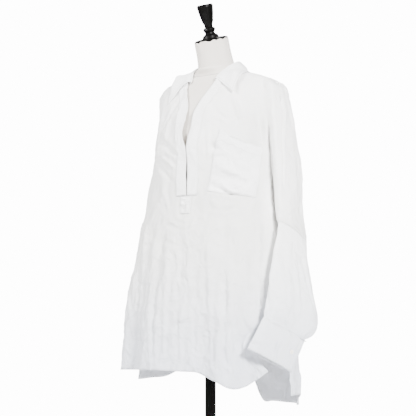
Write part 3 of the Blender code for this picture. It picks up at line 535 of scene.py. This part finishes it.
def linen(name, near_form, line_shadow):
    """White linen: uneven crossed threads with slubs, fine creases, and its sewn lines, with a
    painted shadow along each.

    One sheer layer over a hollow is painted greyer with the hollow's shade than over the
    form or another layer, and all of it in a painted cool shade towards the hem."""
    made, shader, place = new_finish(name)
    x, z = place.axes(0, 2)
    warp = place.stretched(900.0, 900.0, 45.0).speckle(1.0, 2.0)
    weft = place.stretched(50.0, 50.0, 900.0).speckle(1.0, 2.0)
    slub = place.stretched(26.0, 26.0, 420.0).speckle(1.0, 2.0).within(0.56, 0.74)
    slub_up = place.stretched(330.0, 330.0, 17.0).speckle(1.0, 2.0).within(0.58, 0.76)
    fold = place.stretched(1.0, 1.0, 0.8).speckle(27.0, 2.0, 0.5, 0.7)
    small = (place.stretched(1.0, 1.0, 1.6).speckle(85.0, 3.0, 0.6, 0.8) - 0.5).size()
    cloud = place.speckle(7.0, 3.0)
    # painted shade: the cloth grows cooler and darker towards the hem
    cool = z.within(*COOL_Z)
    tone = cool.blend(LINEN_LIT, LINEN_COOL)
    # painted shade: one layer over a hollow is greyer, less so where the form or the arm's cloth
    # lies behind it
    if near_form:
        close = place.node("ShaderNodeAttribute", {"attribute_name": "near_form"}, {}, out="Fac")
        arm = x.size().within(*ARM_X) * z.within(*ARM_Z)
        tone = (close + arm).blend(cool.blend(HOLLOW_SHADE_LIT, HOLLOW_SHADE_COOL), BACKED)
    tone = (cloud * 0.20).blend(tone, CLOUD)
    threads = (slub + slub_up) * 0.10 + (warp - 0.5).size() * 0.18
    tone = threads.blend(tone, THREADS)
    # painted shadow: the cloth darkens along each sewn line's groove
    seam = place.node("ShaderNodeAttribute", {"attribute_name": "from_seam"}, {}, out="Fac")
    line = 1.0 - seam.size().within(0.0002, 0.0013)
    tone = (line * line_shadow).blend(tone, SEWN_LINE_SHADOW)
    join(tone, shader, "Base Color")
    pucker = (1.0 - seam.size().within(0.001, 0.009)) * place.speckle(190.0, 1.0)
    base = (fold * (0.30 + 0.70 * z.within(1.12, 0.86))).bump(1.0, 0.0110)
    base = pucker.bump(0.5, 0.0012, base)
    base = (seam.within(-0.0006, 0.0010) * -0.7 - line).bump(0.4, 0.0008, base)
    base = (1.0 - small).bump(0.50, 0.0024, base)
    weave = warp * 0.5 + weft * 0.5 + slub * 0.35 + slub_up * 0.35
    join(weave.bump(0.40, 0.0005, base), shader, "Normal")
    join(0.80 + 0.12 * cloud, shader, "Roughness")
    shader.inputs["Sheen Weight"].default_value = 0.30
    shader.inputs["Sheen Roughness"].default_value = 0.45
    shader.inputs["Specular IOR Level"].default_value = 0.25
    return made


def cloth_piece(name, node, levels, centre):
    """The outer face of a CAD cloth solid, made fine and smooth."""
    made = joined_copy(name, node)
    outer_face(made, centre)
    smooth_through(made, levels)
    return made


def give_wall(made, thick=CLOTH_THICK):
    """Thicken a finished sheet inward to a closed wall, the last step of its shape."""
    wall = made.modifiers.new("Wall", "SOLIDIFY")
    wall.thickness = thick
    wall.offset = -1.0
    wall.use_quality_normals = True
    apply_all(made)
    made.data.shade_smooth()


def declare(made, node):
    """Attach a cloth piece to the root body and hide the CAD node it stands for."""
    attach(made, "root")
    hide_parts(node)


EDGE_STEP = 0.0008      # how finely an edge is measured from


def whole_edge(mid):
    """All of a sheet's edge, for edge_gap and tuck_under."""
    return True


def edge_gap(made, chosen):
    """Each point's distance from the chosen stretches of a sheet's edge."""
    mesh = bmesh.new()
    mesh.from_mesh(made.data)
    marks = []
    for edge in mesh.edges:
        a, b = (vert.co for vert in edge.verts)
        if edge.is_boundary and chosen((a + b) / 2):
            steps = max(int(edge.calc_length() / EDGE_STEP), 1)
            marks += [a.lerp(b, k / steps) for k in range(steps + 1)]
    tree = KDTree(len(marks))
    for k, mark in enumerate(marks):
        tree.insert(mark, k)
    tree.balance()
    gaps = np.array([tree.find(vert.co)[2] for vert in mesh.verts])
    mesh.free()
    return gaps


def nearest_seam(*fields):
    """The signed distance to the nearest of some sewn lines, below 0 on its edge side."""
    stack = np.stack(fields)
    pick = np.argmin(np.abs(stack), axis=0)
    return stack[pick, np.arange(stack.shape[1])]


def mark_seams(made, values):
    """Paint how far each point is from the sewn lines, for the cloth's material."""
    marks = made.data.attributes.new("from_seam", "FLOAT", "POINT")
    marks.data.foreach_set("value", np.ascontiguousarray(values))


def lines_at(made, field):
    """Runs of (point, normal) along the places of a sheet where a field is zero."""
    mesh = made.data
    links = {}
    for face in mesh.polygons:
        hits = [key for key in face.edge_keys if (field[key[0]] < 0) != (field[key[1]] < 0)]
        for k in range(0, len(hits) - 1, 2):
            links.setdefault(hits[k], []).append(hits[k + 1])
            links.setdefault(hits[k + 1], []).append(hits[k])
    runs = []
    starts = sorted(links, key=lambda key: (len(links[key]), key))
    used = set()
    for start in starts:
        if start in used:
            continue
        run = [start]
        used.add(start)
        while True:
            onward = [key for key in links[run[-1]] if key not in used]
            if not onward:
                break
            run.append(onward[0])
            used.add(onward[0])
        points = []
        for a, b in run:
            share = field[a] / (field[a] - field[b])
            first, second = mesh.vertices[a], mesh.vertices[b]
            points.append((first.co.lerp(second.co, share),
                           first.normal.lerp(second.normal, share).normalized()))
        runs.append(points)
    return runs


thread_runs = {}


def sew(garment_piece, made, field):
    """Remember the runs of thread on a finished sheet."""
    thread_runs.setdefault(garment_piece, []).extend(lines_at(made, field))


BODY_AXIS = (0.0, 0.020, 1.0)
form_skin = skin_of(torso)
linen_panel = linen("linen_panel", near_form=True, line_shadow=0.16)

HEM_LINE = 0.0090       # how far the stitching is from the hem and slit edges
SEAM_LINE = 0.0040      # and from the armhole and shoulder edges
SEAM_HOLD = 0.014       # a sewn seam keeps its line this far to each side
FORM_GAP = 0.0007       # the cloth's inner face stays this far off the form
SIDE_SEAM_Z = 0.775     # the side seams end here and the slits begin
ARMHOLE_Z = 0.950       # they reach up to here; the armholes lie above, further out
ARMHOLE_TOP_Z = 1.012
ARMHOLE_X = 0.205
NECK_X = 0.064          # the shoulder seams start this far out and above this height
SHOULDER_Z = 1.0


def panel_edges(mid):
    """What an edge of a panel is, from where it lies."""
    if mid.z < SIDE_SEAM_Z:
        return "hem"
    if mid.z < ARMHOLE_Z:
        return "side"
    if mid.z < ARMHOLE_TOP_Z and abs(mid.x) > ARMHOLE_X:
        return "armhole"
    if abs(mid.x) > NECK_X and mid.z > SHOULDER_Z:
        return "shoulder"
    return "opening"


SLIT_X = 0.003          # its wearer's right side lies below this
SLIT_EASE = 0.050       # how far from the slit the cloth moves with its edge
LENS_Z = 1.238          # where the slit gapes, over how much height and how far
LENS_TALL = 0.026
LENS = Vector((-0.0085, -0.0030, 0.0))
CLOSED_Z = 1.108        # and where its edges lie close together again
CLOSED_TALL = 0.024
CLOSED = Vector((0.0019, 0.0, 0.0))


def part_slit(places):
    """Let the wearer's right edge of the slit gape below the open neck."""
    x, z = places[:, 0], places[:, 2]
    near = np.clip(1.0 + x / SLIT_EASE, 0.0, 1.0) * (x < SLIT_X) * (places[:, 1] < 0.0)
    share = near * np.exp(-((z - LENS_Z) / LENS_TALL) ** 2)
    shut = near * np.exp(-((z - CLOSED_Z) / CLOSED_TALL) ** 2)
    return places + share[:, None] * np.array(LENS) + shut[:, None] * np.array(CLOSED)


# The hollow between chest and arm: from the top down to each height it is smoothed so
# often. It lies between VALLEY_X and a line that leans out downwards, in front.
VALLEY_STEPS = ((1.22, 110), (1.12, 90), (1.02, 60))
VALLEY_TOP_Z = 1.355
VALLEY_X = 0.140
VALLEY_BACK_Y = 0.040


def fill_valley(made):
    """Soften the hollow between the chest and the arm below the shoulder."""
    bpy.ops.object.select_all(action="DESELECT")
    made.select_set(True)
    bpy.context.view_layer.objects.active = made
    for low, repeat in VALLEY_STEPS:
        bpy.ops.object.mode_set(mode="EDIT")
        bpy.ops.mesh.select_mode(type="VERT")
        bpy.ops.mesh.select_all(action="DESELECT")
        bpy.ops.object.mode_set(mode="OBJECT")
        for vert in made.data.vertices:
            x, y, z = vert.co
            reach = 0.188 + (1.345 - z) * 0.13 + 0.006
            vert.select = low < z < VALLEY_TOP_Z and VALLEY_X < abs(x) < reach \
                and y < VALLEY_BACK_Y
        bpy.ops.object.mode_set(mode="EDIT")
        bpy.ops.mesh.vertices_smooth(factor=0.5, repeat=repeat)
        bpy.ops.object.mode_set(mode="OBJECT")


BROAD_HANG = (0.0044, 0.055, 0.60)      # how far the hang's ridges rise, how wide they are
SMALL_HANG = (0.0025, 0.023, 0.85)      # and how much they are drawn out upright
FRONT_SEED = 3.0
BACK_SEED = 5.0


def add_hang(shift, places, seed):
    """Add the uneven hang: the small ridges grow towards the hem, where it hangs free."""
    shift += crumple(places, *BROAD_HANG, seed)
    low_share = 0.65 + 0.70 * np.clip((1.15 - places[:, 2]) / 0.35, 0.0, 1.0)
    shift += crumple(places, *SMALL_HANG, seed + 5.0) * low_share


def hang_panel(made, creases, seed):
    """Crease a panel by its listed creases and by its uneven hang, and keep it clear of the form.
    """
    places, normals = spots(made.data), facing(made.data)
    shift = crease_shift(places, normals, creases, skin_of(made))
    add_hang(shift, places, seed)
    seams = ("side", "armhole", "shoulder")
    held = edge_gap(made, lambda mid: panel_edges(mid) in seams) / SEAM_HOLD
    shift *= eased(np.minimum(held, 1.0))
    places = part_slit(places + normals * shift[:, None])
    set_spots(made.data, lay_over(places, form_skin, CLOTH_THICK + FORM_GAP))
    mark_near_form(made, form_skin)
    hem = edge_gap(made, lambda mid: panel_edges(mid) == "hem") - HEM_LINE
    arm = edge_gap(made, lambda mid: panel_edges(mid) in ("armhole", "shoulder")) - SEAM_LINE
    field = nearest_seam(hem, arm)
    mark_seams(made, field)
    sew("panels", made, field)
    made.data.materials.append(linen_panel)


front = cloth_piece("blouse_front", "front", 3, BODY_AXIS)
fill_valley(front)
front_start = skin_of(front)
hang_panel(front, FRONT_CREASES, FRONT_SEED)
front_skin = skin_of(front)
give_wall(front)
declare(front, "front")


# The back: the same width, cut in one and longer at the sides, with its own hem. It is
# sewn to the front along the shoulders, over the arms and down the sides, and its seam
# allowance lies behind the front's edge.
BACK_CREASES = (
    ("back", ((0, 1330), (4, 1150), (-6, 960)), 12, -3),
    ("back", ((60, 1120), (70, 900), (78, 640)), 15, -4.6),
    ("back", ((-64, 1100), (-78, 880), (-86, 650)), 15, -5),
    ("back", ((110, 1090), (120, 860), (132, 600)), 13, 4),
    ("back", ((-120, 1060), (-130, 850), (-136, 640)), 13, 3.8),
    ("back", ((150, 1280), (110, 1210), (50, 1170)), 12, -3.6),
    ("back", ((-150, 1270), (-105, 1196), (-46, 1150)), 12, -3.4),
    ("back", ((20, 1000), (26, 850), (30, 690)), 11, 2.6),
    ("back", ((-30, 990), (-36, 820), (-40, 700)), 10, -2.2),
    ("back", ((160, 980), (176, 820), (186, 640)), 12, -3.4),
    ("back", ((-160, 1000), (-176, 830), (-190, 680)), 12, -3.6),
    ("left", ((78, 1320), (82, 1220), (84, 1090)), 8, -3.6),
    ("right", ((92, 1310), (100, 1210), (100, 1080)), 8, -3.6),
)
TUCK_STEPS = ((0.0002, 0.0014), (0.0050, 0.0003))   # out past the edge, and down behind it


def tuck_under(made, chosen):
    """Grow a seam allowance from the chosen edge, that lies behind the next piece."""
    mesh = bmesh.new()
    mesh.from_mesh(made.data)
    mesh.normal_update()
    edges = []
    for edge in mesh.edges:
        if edge.is_boundary and chosen((edge.verts[0].co + edge.verts[1].co) / 2):
            edges.append(edge)
    where = {}
    for edge in edges:
        for vert in edge.verts:
            inner = [e.other_vert(vert).co for e in vert.link_edges if not e.is_boundary]
            if inner:
                middle = sum(inner, Vector()) / len(inner)
            else:
                middle = sum((f.calc_center_median() for f in vert.link_faces), Vector())
                middle /= len(vert.link_faces)
            where[tuple(vert.co)] = ((vert.co - middle).normalized(), vert.normal.copy())
    for along, down in TUCK_STEPS:
        grown = bmesh.ops.extrude_edge_only(mesh, edges=edges)["geom"]
        edges = [item for item in grown if isinstance(item, bmesh.types.BMEdge)
                 and item.is_boundary]
        moved = {}
        for vert in (item for item in grown if isinstance(item, bmesh.types.BMVert)):
            away, normal = where[tuple(vert.co)]
            vert.co += away * along - normal * down
            moved[tuple(vert.co)] = (away, normal)
        where = moved
    mesh.to_mesh(made.data)
    mesh.free()


back = cloth_piece("blouse_back", "back", 3, BODY_AXIS)
hang_panel(back, BACK_CREASES, BACK_SEED)
back_skin = skin_of(back)
tuck_under(back, lambda mid: panel_edges(mid) in ("side", "shoulder"))
give_wall(back)
declare(back, "back")


# The placket: a straight band sewn along each edge of the slit, and a boxed patch
# over their lower ends, each of doubled linen and topstitched near its edges.
BAND_LINE = 0.0025
BAND_END_Z = 1.084      # no stitching across the bands' lower ends
TRIM_LINE = 0.0030      # the stitching of the patch, the pocket and the sleeves
PUCKER = (0.0012, 0.017, 2.0)   # how the doubled pieces pucker between their stitches
TRIM_WALL = 0.0007
linen_trim = linen("linen_trim", near_form=False, line_shadow=0.55)
PATCH_CREASES = (
    ("front", ((-20, 1062), (-2, 1063), (16, 1062)), 4, -3),
    ("front", ((-20, 1054), (-2, 1053), (16, 1055)), 4.5, 2.6),
    ("front", ((-18, 1042), (-4, 1040), (14, 1043)), 4, -1.8),
)


def trim_piece(name, node, pressed, lines, gap, press, seed, levels=3, own_creases=()):
    """A piece sewn on the front: it follows the front's creases and lies on it.

    It lies the gap off the front at its pressed edge, and freely from press inwards."""
    made = cloth_piece(name, node, levels, BODY_AXIS)
    places, normals = spots(made.data), facing(made.data)
    shift = crease_shift(places, normals, FRONT_CREASES, front_start)
    add_hang(shift, places, FRONT_SEED)
    shift += crumple(places, *PUCKER, seed)
    shift += crease_shift(places, normals, own_creases, front_start)
    places = part_slit(places + normals * shift[:, None])
    set_spots(made.data, places)
    share = eased(np.clip(edge_gap(made, pressed) / press, 0.0, 1.0))
    laid = places.copy()
    for i, spot in enumerate(places):
        near, normal, _, _ = front_skin.find_nearest(Vector(spot))
        height = (Vector(spot) - near).dot(normal)
        laid[i] = Vector(spot) + normal * ((gap - height) * (1.0 - share[i]))
    laid = lay_over(laid, front_skin, gap)
    set_spots(made.data, laid)
    field = nearest_seam(*[edge_gap(made, chosen) - off for chosen, off in lines])
    mark_seams(made, field)
    sew(name, made, field)
    made.data.materials.append(linen_trim)
    give_wall(made, TRIM_WALL)
    return made


for side, word in ((1, "left"), (-1, "right")):
    band = trim_piece("placket_band_" + word, "placket_" + word, whole_edge,
                      [(lambda mid: mid.z > BAND_END_Z, BAND_LINE)],
                      gap=0.0009, press=0.004, seed=11.0 + side)
    declare(band, "placket_" + word)

patch = trim_piece("placket_patch", "placket_box", whole_edge, [(whole_edge, TRIM_LINE)],
                   gap=0.0016, press=0.003, seed=17.0, levels=4, own_creases=PATCH_CREASES)
declare(patch, "placket_box")


# The chest pocket: one patch with a turned band along its mouth, topstitched round
# its sides and foot; its mouth hangs a little slack.
POCKET_BAND = 0.022
MOUTH_AT = Vector((0.095, -0.078, 1.243))       # the mouth's line: a point and its way
MOUTH_WAY = Vector((0.098, 0.045, -0.045)).normalized()
MOUTH_OFF = 0.016       # edges closer to that line and above MOUTH_Z are the mouth
MOUTH_Z = 1.178


def pocket_mouth(mid):
    return mid.z > MOUTH_Z and (mid - MOUTH_AT).cross(MOUTH_WAY).length < MOUTH_OFF


def pocket_seam(mid):
    return not pocket_mouth(mid)


pocket = trim_piece("chest_pocket", "pocket", pocket_seam,
                    [(pocket_seam, TRIM_LINE), (pocket_mouth, POCKET_BAND)],
                    gap=0.0015, press=0.006, seed=23.0)
declare(pocket, "pocket")


# The sleeves: short tubes set on at the elbows, and the cuffs, a doubled band round
# each wrist whose ends lap and are held by a button.
SLEEVE_CREASES = {
    1: (
        ("left", ((-34, 935), (-40, 862), (-46, 790)), 8, -3),
        ("left", ((3, 930), (-4, 850), (-10, 765)), 9, 2.8),
        ("left", ((30, 925), (30, 860), (40, 775)), 8, -3.2),
        ("front", ((220, 900), (232, 850), (236, 790)), 7, -2.4),
        ("left", ((-30, 885), (0, 872), (30, 880)), 6, -2.2),
        ("left", ((-40, 820), (-10, 806), (30, 818)), 6, 1.8),
    ),
    -1: (
        ("right", ((20, 925), (24, 862), (20, 780)), 8, -3),
        ("right", ((60, 925), (70, 850), (66, 765)), 9, 2.6),
        ("right", ((90, 900), (104, 850), (110, 780)), 8, -3),
        ("right", ((20, 880), (60, 868), (96, 876)), 6, -2),
        ("front", ((-262, 890), (-270, 840), (-276, 780)), 7, -2),
    ),
}
CUFF_CREASES = {
    1: (
        ("front", ((215, 722), (222, 690), (212, 655)), 6, -1.6),
        ("left", ((-60, 722), (-70, 690), (-86, 655)), 6, 1.4),
        ("left", ((-20, 715), (-40, 700), (-50, 665)), 5, -1.4),
    ),
    -1: (
        ("right", ((30, 722), (34, 690), (26, 655)), 6, -1.4),
        ("right", ((85, 715), (80, 690), (76, 665)), 5, 1.2),
    ),
}

SLEEVE_TOP_Z = 0.90     # a sleeve's edge above this is its seam, stitched along
CUFF_LINE = 0.0045
cuff_skins = {}


def arm_tube(name, node, creases, ridges, hold):
    """A tube of cloth round an arm, creased and ridged; its ends keep their line."""
    low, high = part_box(node)
    made = cloth_piece(name, node, 3, (low + high) / 2)
    places, normals = spots(made.data), facing(made.data)
    shift = crease_shift(places, normals, creases, skin_of(made))
    for amount, grain, stretch, seed in ridges:
        shift += crumple(places, amount, grain, stretch, seed)
    ends = np.minimum(edge_gap(made, whole_edge) / hold, 1.0)
    set_spots(made.data, places + normals * (shift * ends)[:, None])
    made.data.materials.append(linen_trim)
    return made


for side, word in ((1, "left"), (-1, "right")):
    ridges = [(0.0016, 0.034, 0.7, 31.0 + side), (0.0007, 0.015, 0.9, 37.0 + side)]
    sleeve = arm_tube("sleeve_tube_" + word, "sleeve_" + word, SLEEVE_CREASES[side], ridges,
                      hold=0.012)
    mark_seams(sleeve, edge_gap(sleeve, lambda mid: mid.z > SLEEVE_TOP_Z) - TRIM_LINE)
    tuck_under(sleeve, whole_edge)
    give_wall(sleeve)
    declare(sleeve, "sleeve_" + word)

    cuff = arm_tube("cuff_band_" + word, "cuff_" + word, CUFF_CREASES[side],
                    [(0.0008, 0.030, 0.8, 41.0 + side)], hold=0.010)
    field = edge_gap(cuff, whole_edge) - CUFF_LINE
    mark_seams(cuff, field)
    sew("cuffs", cuff, field)
    cuff_skins[side] = skin_of(cuff)
    give_wall(cuff)
    declare(cuff, "cuff_" + word)


# The collar: a narrow stand sewn round the neckline, and a doubled leaf that folds
# over it to two points, topstitched along its edges.
NECK_AXIS = (0.0, 0.030, 1.400)
STAND_LINE = 0.0025
LEAF_LINE = 0.0050
LEAF_RIDGES = (0.0009, 0.035, 1.0)
LEAF_GAP = 0.0022       # how far the leaf lies off the cloth at least
LEAF_REACH = 0.0150     # its free edge sinks to the shoulder from this far off
LEAF_PRESS = 0.0240     # the sinking fades out this far in from the edge
LEAF_FRONT_Y = -0.010   # and towards the points, from LEAF_FADE behind this to nothing
LEAF_FADE = 0.030
FOLD_OUT = 0.062        # the fold is closer to the neck's axis and higher than this
FOLD_Z = 1.365

stand = cloth_piece("collar_stand_band", "collar_stand", 3, NECK_AXIS)
mark_seams(stand, edge_gap(stand, whole_edge) - STAND_LINE)
stand.data.materials.append(linen_trim)
give_wall(stand)
declare(stand, "collar_stand")

leaf = cloth_piece("collar_leaf_fold", "collar_leaf", 3, NECK_AXIS)
places, normals = spots(leaf.data), facing(leaf.data)
places = places + normals * crumple(places, *LEAF_RIDGES, 53.0)[:, None]
for skin in (front_skin, back_skin):
    places = lay_over(places, skin, LEAF_GAP)
set_spots(leaf.data, places)


def leaf_edge(mid):
    """The leaf's free edge, away from the fold round the neck."""
    out = Vector((mid.x, mid.y - NECK_AXIS[1], 0.0)).length
    return out > FOLD_OUT or mid.z < FOLD_Z


press = eased(1.0 - np.clip(edge_gap(leaf, leaf_edge) / LEAF_PRESS, 0.0, 1.0))
press *= np.clip((places[:, 1] - LEAF_FRONT_Y) / LEAF_FADE, 0.0, 1.0)
for i, spot in enumerate(places):
    found = [skin.find_nearest(Vector(spot), LEAF_REACH) for skin in (front_skin, back_skin)]
    found = [hit for hit in found if hit[0] is not None]
    if found:
        near, normal, _, away = min(found, key=lambda hit: hit[3])
        if (Vector(spot) - near).dot(normal) > LEAF_GAP:
            down = (near - Vector(spot)).normalized()
            places[i] = Vector(spot) + down * ((away - LEAF_GAP) * press[i])
set_spots(leaf.data, places)
field = edge_gap(leaf, leaf_edge) - LEAF_LINE
mark_seams(leaf, field)
sew("collar", leaf, field)
leaf.data.materials.append(linen_trim)
give_wall(leaf)
declare(leaf, "collar_leaf")


# The stitching: white cotton thread, worked as a lockstitch along each sewn line. The
# stitches stand a third of a millimetre proud of the cloth and dip in at their ends.
STITCH_PITCH = 0.0032
STITCH_LONG = 0.0022
STITCH_WIDE = 0.00050
STITCH_TOP = 0.00034        # how far a stitch stands out, at its middle and its flanks
STITCH_FLANK = 0.00008
STITCH_SINK = 0.0001        # and how far its ends and underside sink in


def thread_of(name, runs):
    """Stitches along the runs, each a small spindle of thread that dips in at its ends."""
    verts = []
    faces = []
    for run in runs:
        walked = 0.0
        due = 0.0
        for (p, n), (q, m) in zip(run, run[1:]):
            step = (q - p).length
            while step > 1e-7 and due <= walked + step:
                share = (due - walked) / step
                centre = p.lerp(q, share)
                up = n.lerp(m, share).normalized()
                way = (q - p).normalized()
                side = way.cross(up).normalized()
                first = len(verts)
                verts += [centre - way * (STITCH_LONG / 2) - up * STITCH_SINK,
                          centre + side * (STITCH_WIDE / 2) + up * STITCH_FLANK,
                          centre + up * STITCH_TOP,
                          centre - side * (STITCH_WIDE / 2) + up * STITCH_FLANK,
                          centre - up * STITCH_SINK,
                          centre + way * (STITCH_LONG / 2) - up * STITCH_SINK]
                for k in range(4):
                    a, b = first + 1 + k, first + 1 + (k + 1) % 4
                    faces += [(first, a, b), (first + 5, b, a)]
                due += STITCH_PITCH
            walked += step
    mesh = bpy.data.meshes.new(name)
    mesh.from_pydata(verts, [], faces)
    made = bpy.data.objects.new(name, mesh)
    bpy.context.scene.collection.objects.link(made)
    made.select_set(True)
    bpy.context.view_layer.objects.active = made
    bpy.ops.object.mode_set(mode="EDIT")
    bpy.ops.mesh.select_all(action="SELECT")
    bpy.ops.mesh.normals_make_consistent(inside=False)
    bpy.ops.object.mode_set(mode="OBJECT")
    made.select_set(False)
    return made


def cotton_thread():
    made, shader, place = new_finish("cotton_thread")
    twist = place.speckle(1400.0, 1.0)
    join(twist.blend((0.70, 0.69, 0.67, 1.0), (0.82, 0.81, 0.79, 1.0)), shader, "Base Color")
    join(twist.bump(0.4, 0.0002), shader, "Normal")
    shader.inputs["Roughness"].default_value = 0.7
    return made


thread_paint = cotton_thread()
for name, runs in thread_runs.items():
    sewn = thread_of("stitches_" + name, runs)
    sewn.data.materials.append(thread_paint)
    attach(sewn, "root")


# The buttons: turned shell with a rim, a dished face and four holes, sewn on with a
# crossed thread. One closes each cuff, and one is fastened in the placket.
def button_shell():
    made, shader, place = new_finish("button_shell_paint")
    layers = place.stretched(1.0, 1.0, 2.6).speckle(260.0, 3.0, 0.5, 1.2)
    join(layers.blend((0.80, 0.76, 0.68, 1.0), (0.90, 0.88, 0.84, 1.0)), shader, "Base Color")
    join(0.22 + 0.18 * layers, shader, "Roughness")
    join(layers.bump(0.15, 0.0003), shader, "Normal")
    return made


def sewing_yarn():
    made, shader, place = new_finish("button_thread")
    twist = place.speckle(1600.0, 1.0)
    join(twist.blend((0.60, 0.50, 0.30, 1.0), (0.72, 0.62, 0.40, 1.0)), shader, "Base Color")
    join(twist.bump(0.4, 0.0002), shader, "Normal")
    shader.inputs["Roughness"].default_value = 0.75
    return made


shell_paint = button_shell()
yarn_paint = sewing_yarn()
BUTTON_THICK = 0.0020
BUTTON_LIFT = 0.0003    # it is held this far off the cloth by its thread
BUTTON_DISH = 0.0006
RIM_SHARE, DISH_SHARE = 0.20, 0.10      # widths of rim and slope, as shares of the radius
HOLE_SHARE, HOLE_AT_SHARE = 0.10, 0.30  # a hole's radius, and its place
STRAND_SHARES = (0.34, 0.075)           # a strand's half length and half width
STRAND_HIGH = 0.00040


def set_button(name, node, skin, radius):
    """A button lying flat on the cloth under its CAD node, with its crossed thread."""
    low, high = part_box(node)
    near, normal, _, _ = skin.find_nearest((low + high) / 2)
    bpy.ops.object.select_all(action="DESELECT")
    bpy.ops.mesh.primitive_cylinder_add(vertices=40, radius=radius, depth=BUTTON_THICK)
    button = bpy.context.object
    button.name = name
    bpy.ops.object.mode_set(mode="EDIT")
    bpy.ops.mesh.select_all(action="DESELECT")
    bpy.ops.object.mode_set(mode="OBJECT")
    for face in button.data.polygons:
        face.select = face.normal.z > 0.9
    bpy.ops.object.mode_set(mode="EDIT")
    bpy.ops.mesh.inset(thickness=radius * RIM_SHARE)
    bpy.ops.mesh.inset(thickness=radius * DISH_SHARE)
    bpy.ops.transform.translate(value=(0.0, 0.0, -BUTTON_DISH))
    bpy.ops.object.mode_set(mode="OBJECT")
    rim = button.modifiers.new("Edge", "BEVEL")
    rim.width = 0.00025
    rim.segments = 2
    drills = []
    for turn in (45, 135, 225, 315):
        out = radius * HOLE_AT_SHARE
        bpy.ops.mesh.primitive_cylinder_add(
            vertices=12, radius=radius * HOLE_SHARE, depth=BUTTON_THICK * 3,
            location=(out * cos(radians(turn)), out * sin(radians(turn)), 0))
        drill = bpy.context.object
        drills.append(drill)
        hole = button.modifiers.new("Hole", "BOOLEAN")
        hole.object = drill
        hole.solver = "EXACT"
    bpy.ops.object.select_all(action="DESELECT")
    button.select_set(True)
    apply_all(button)
    for drill in drills:
        bpy.data.objects.remove(drill)
    bpy.context.view_layer.objects.active = button
    bpy.ops.object.shade_smooth_by_angle(angle=radians(35))
    button.data.materials.append(shell_paint)
    yarn = []
    for turn, lift in ((45, 0.0005), (135, 0.0006)):
        bpy.ops.object.select_all(action="DESELECT")
        bpy.ops.mesh.primitive_uv_sphere_add(segments=10, ring_count=8, radius=1.0)
        strand = bpy.context.object
        strand.scale = (radius * STRAND_SHARES[0], radius * STRAND_SHARES[1], STRAND_HIGH)
        strand.rotation_euler = (0.0, 0.0, radians(turn))
        strand.location = (0.0, 0.0, lift)
        bpy.ops.object.transform_apply(location=True, rotation=True, scale=True)
        strand.name = name + "_thread_" + str(turn)
        strand.data.materials.append(yarn_paint)
        strand.data.shade_smooth()
        yarn.append(strand)
    turn_to = Vector((0, 0, 1)).rotation_difference(normal).to_matrix().to_4x4()
    turn_to.translation = near + normal * (BUTTON_THICK / 2 + BUTTON_LIFT)
    for made in [button] + yarn:
        made.data.transform(turn_to)
        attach(made, "root")
    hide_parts(node)


for side, word in ((1, "left"), (-1, "right")):
    set_button("cuff_button_" + word, "button_cuff_" + word, cuff_skins[side], radius=0.0056)
band_skin = skin_of(bpy.data.objects["placket_band_right"])
set_button("placket_button", "button_placket", band_skin, radius=0.0042)
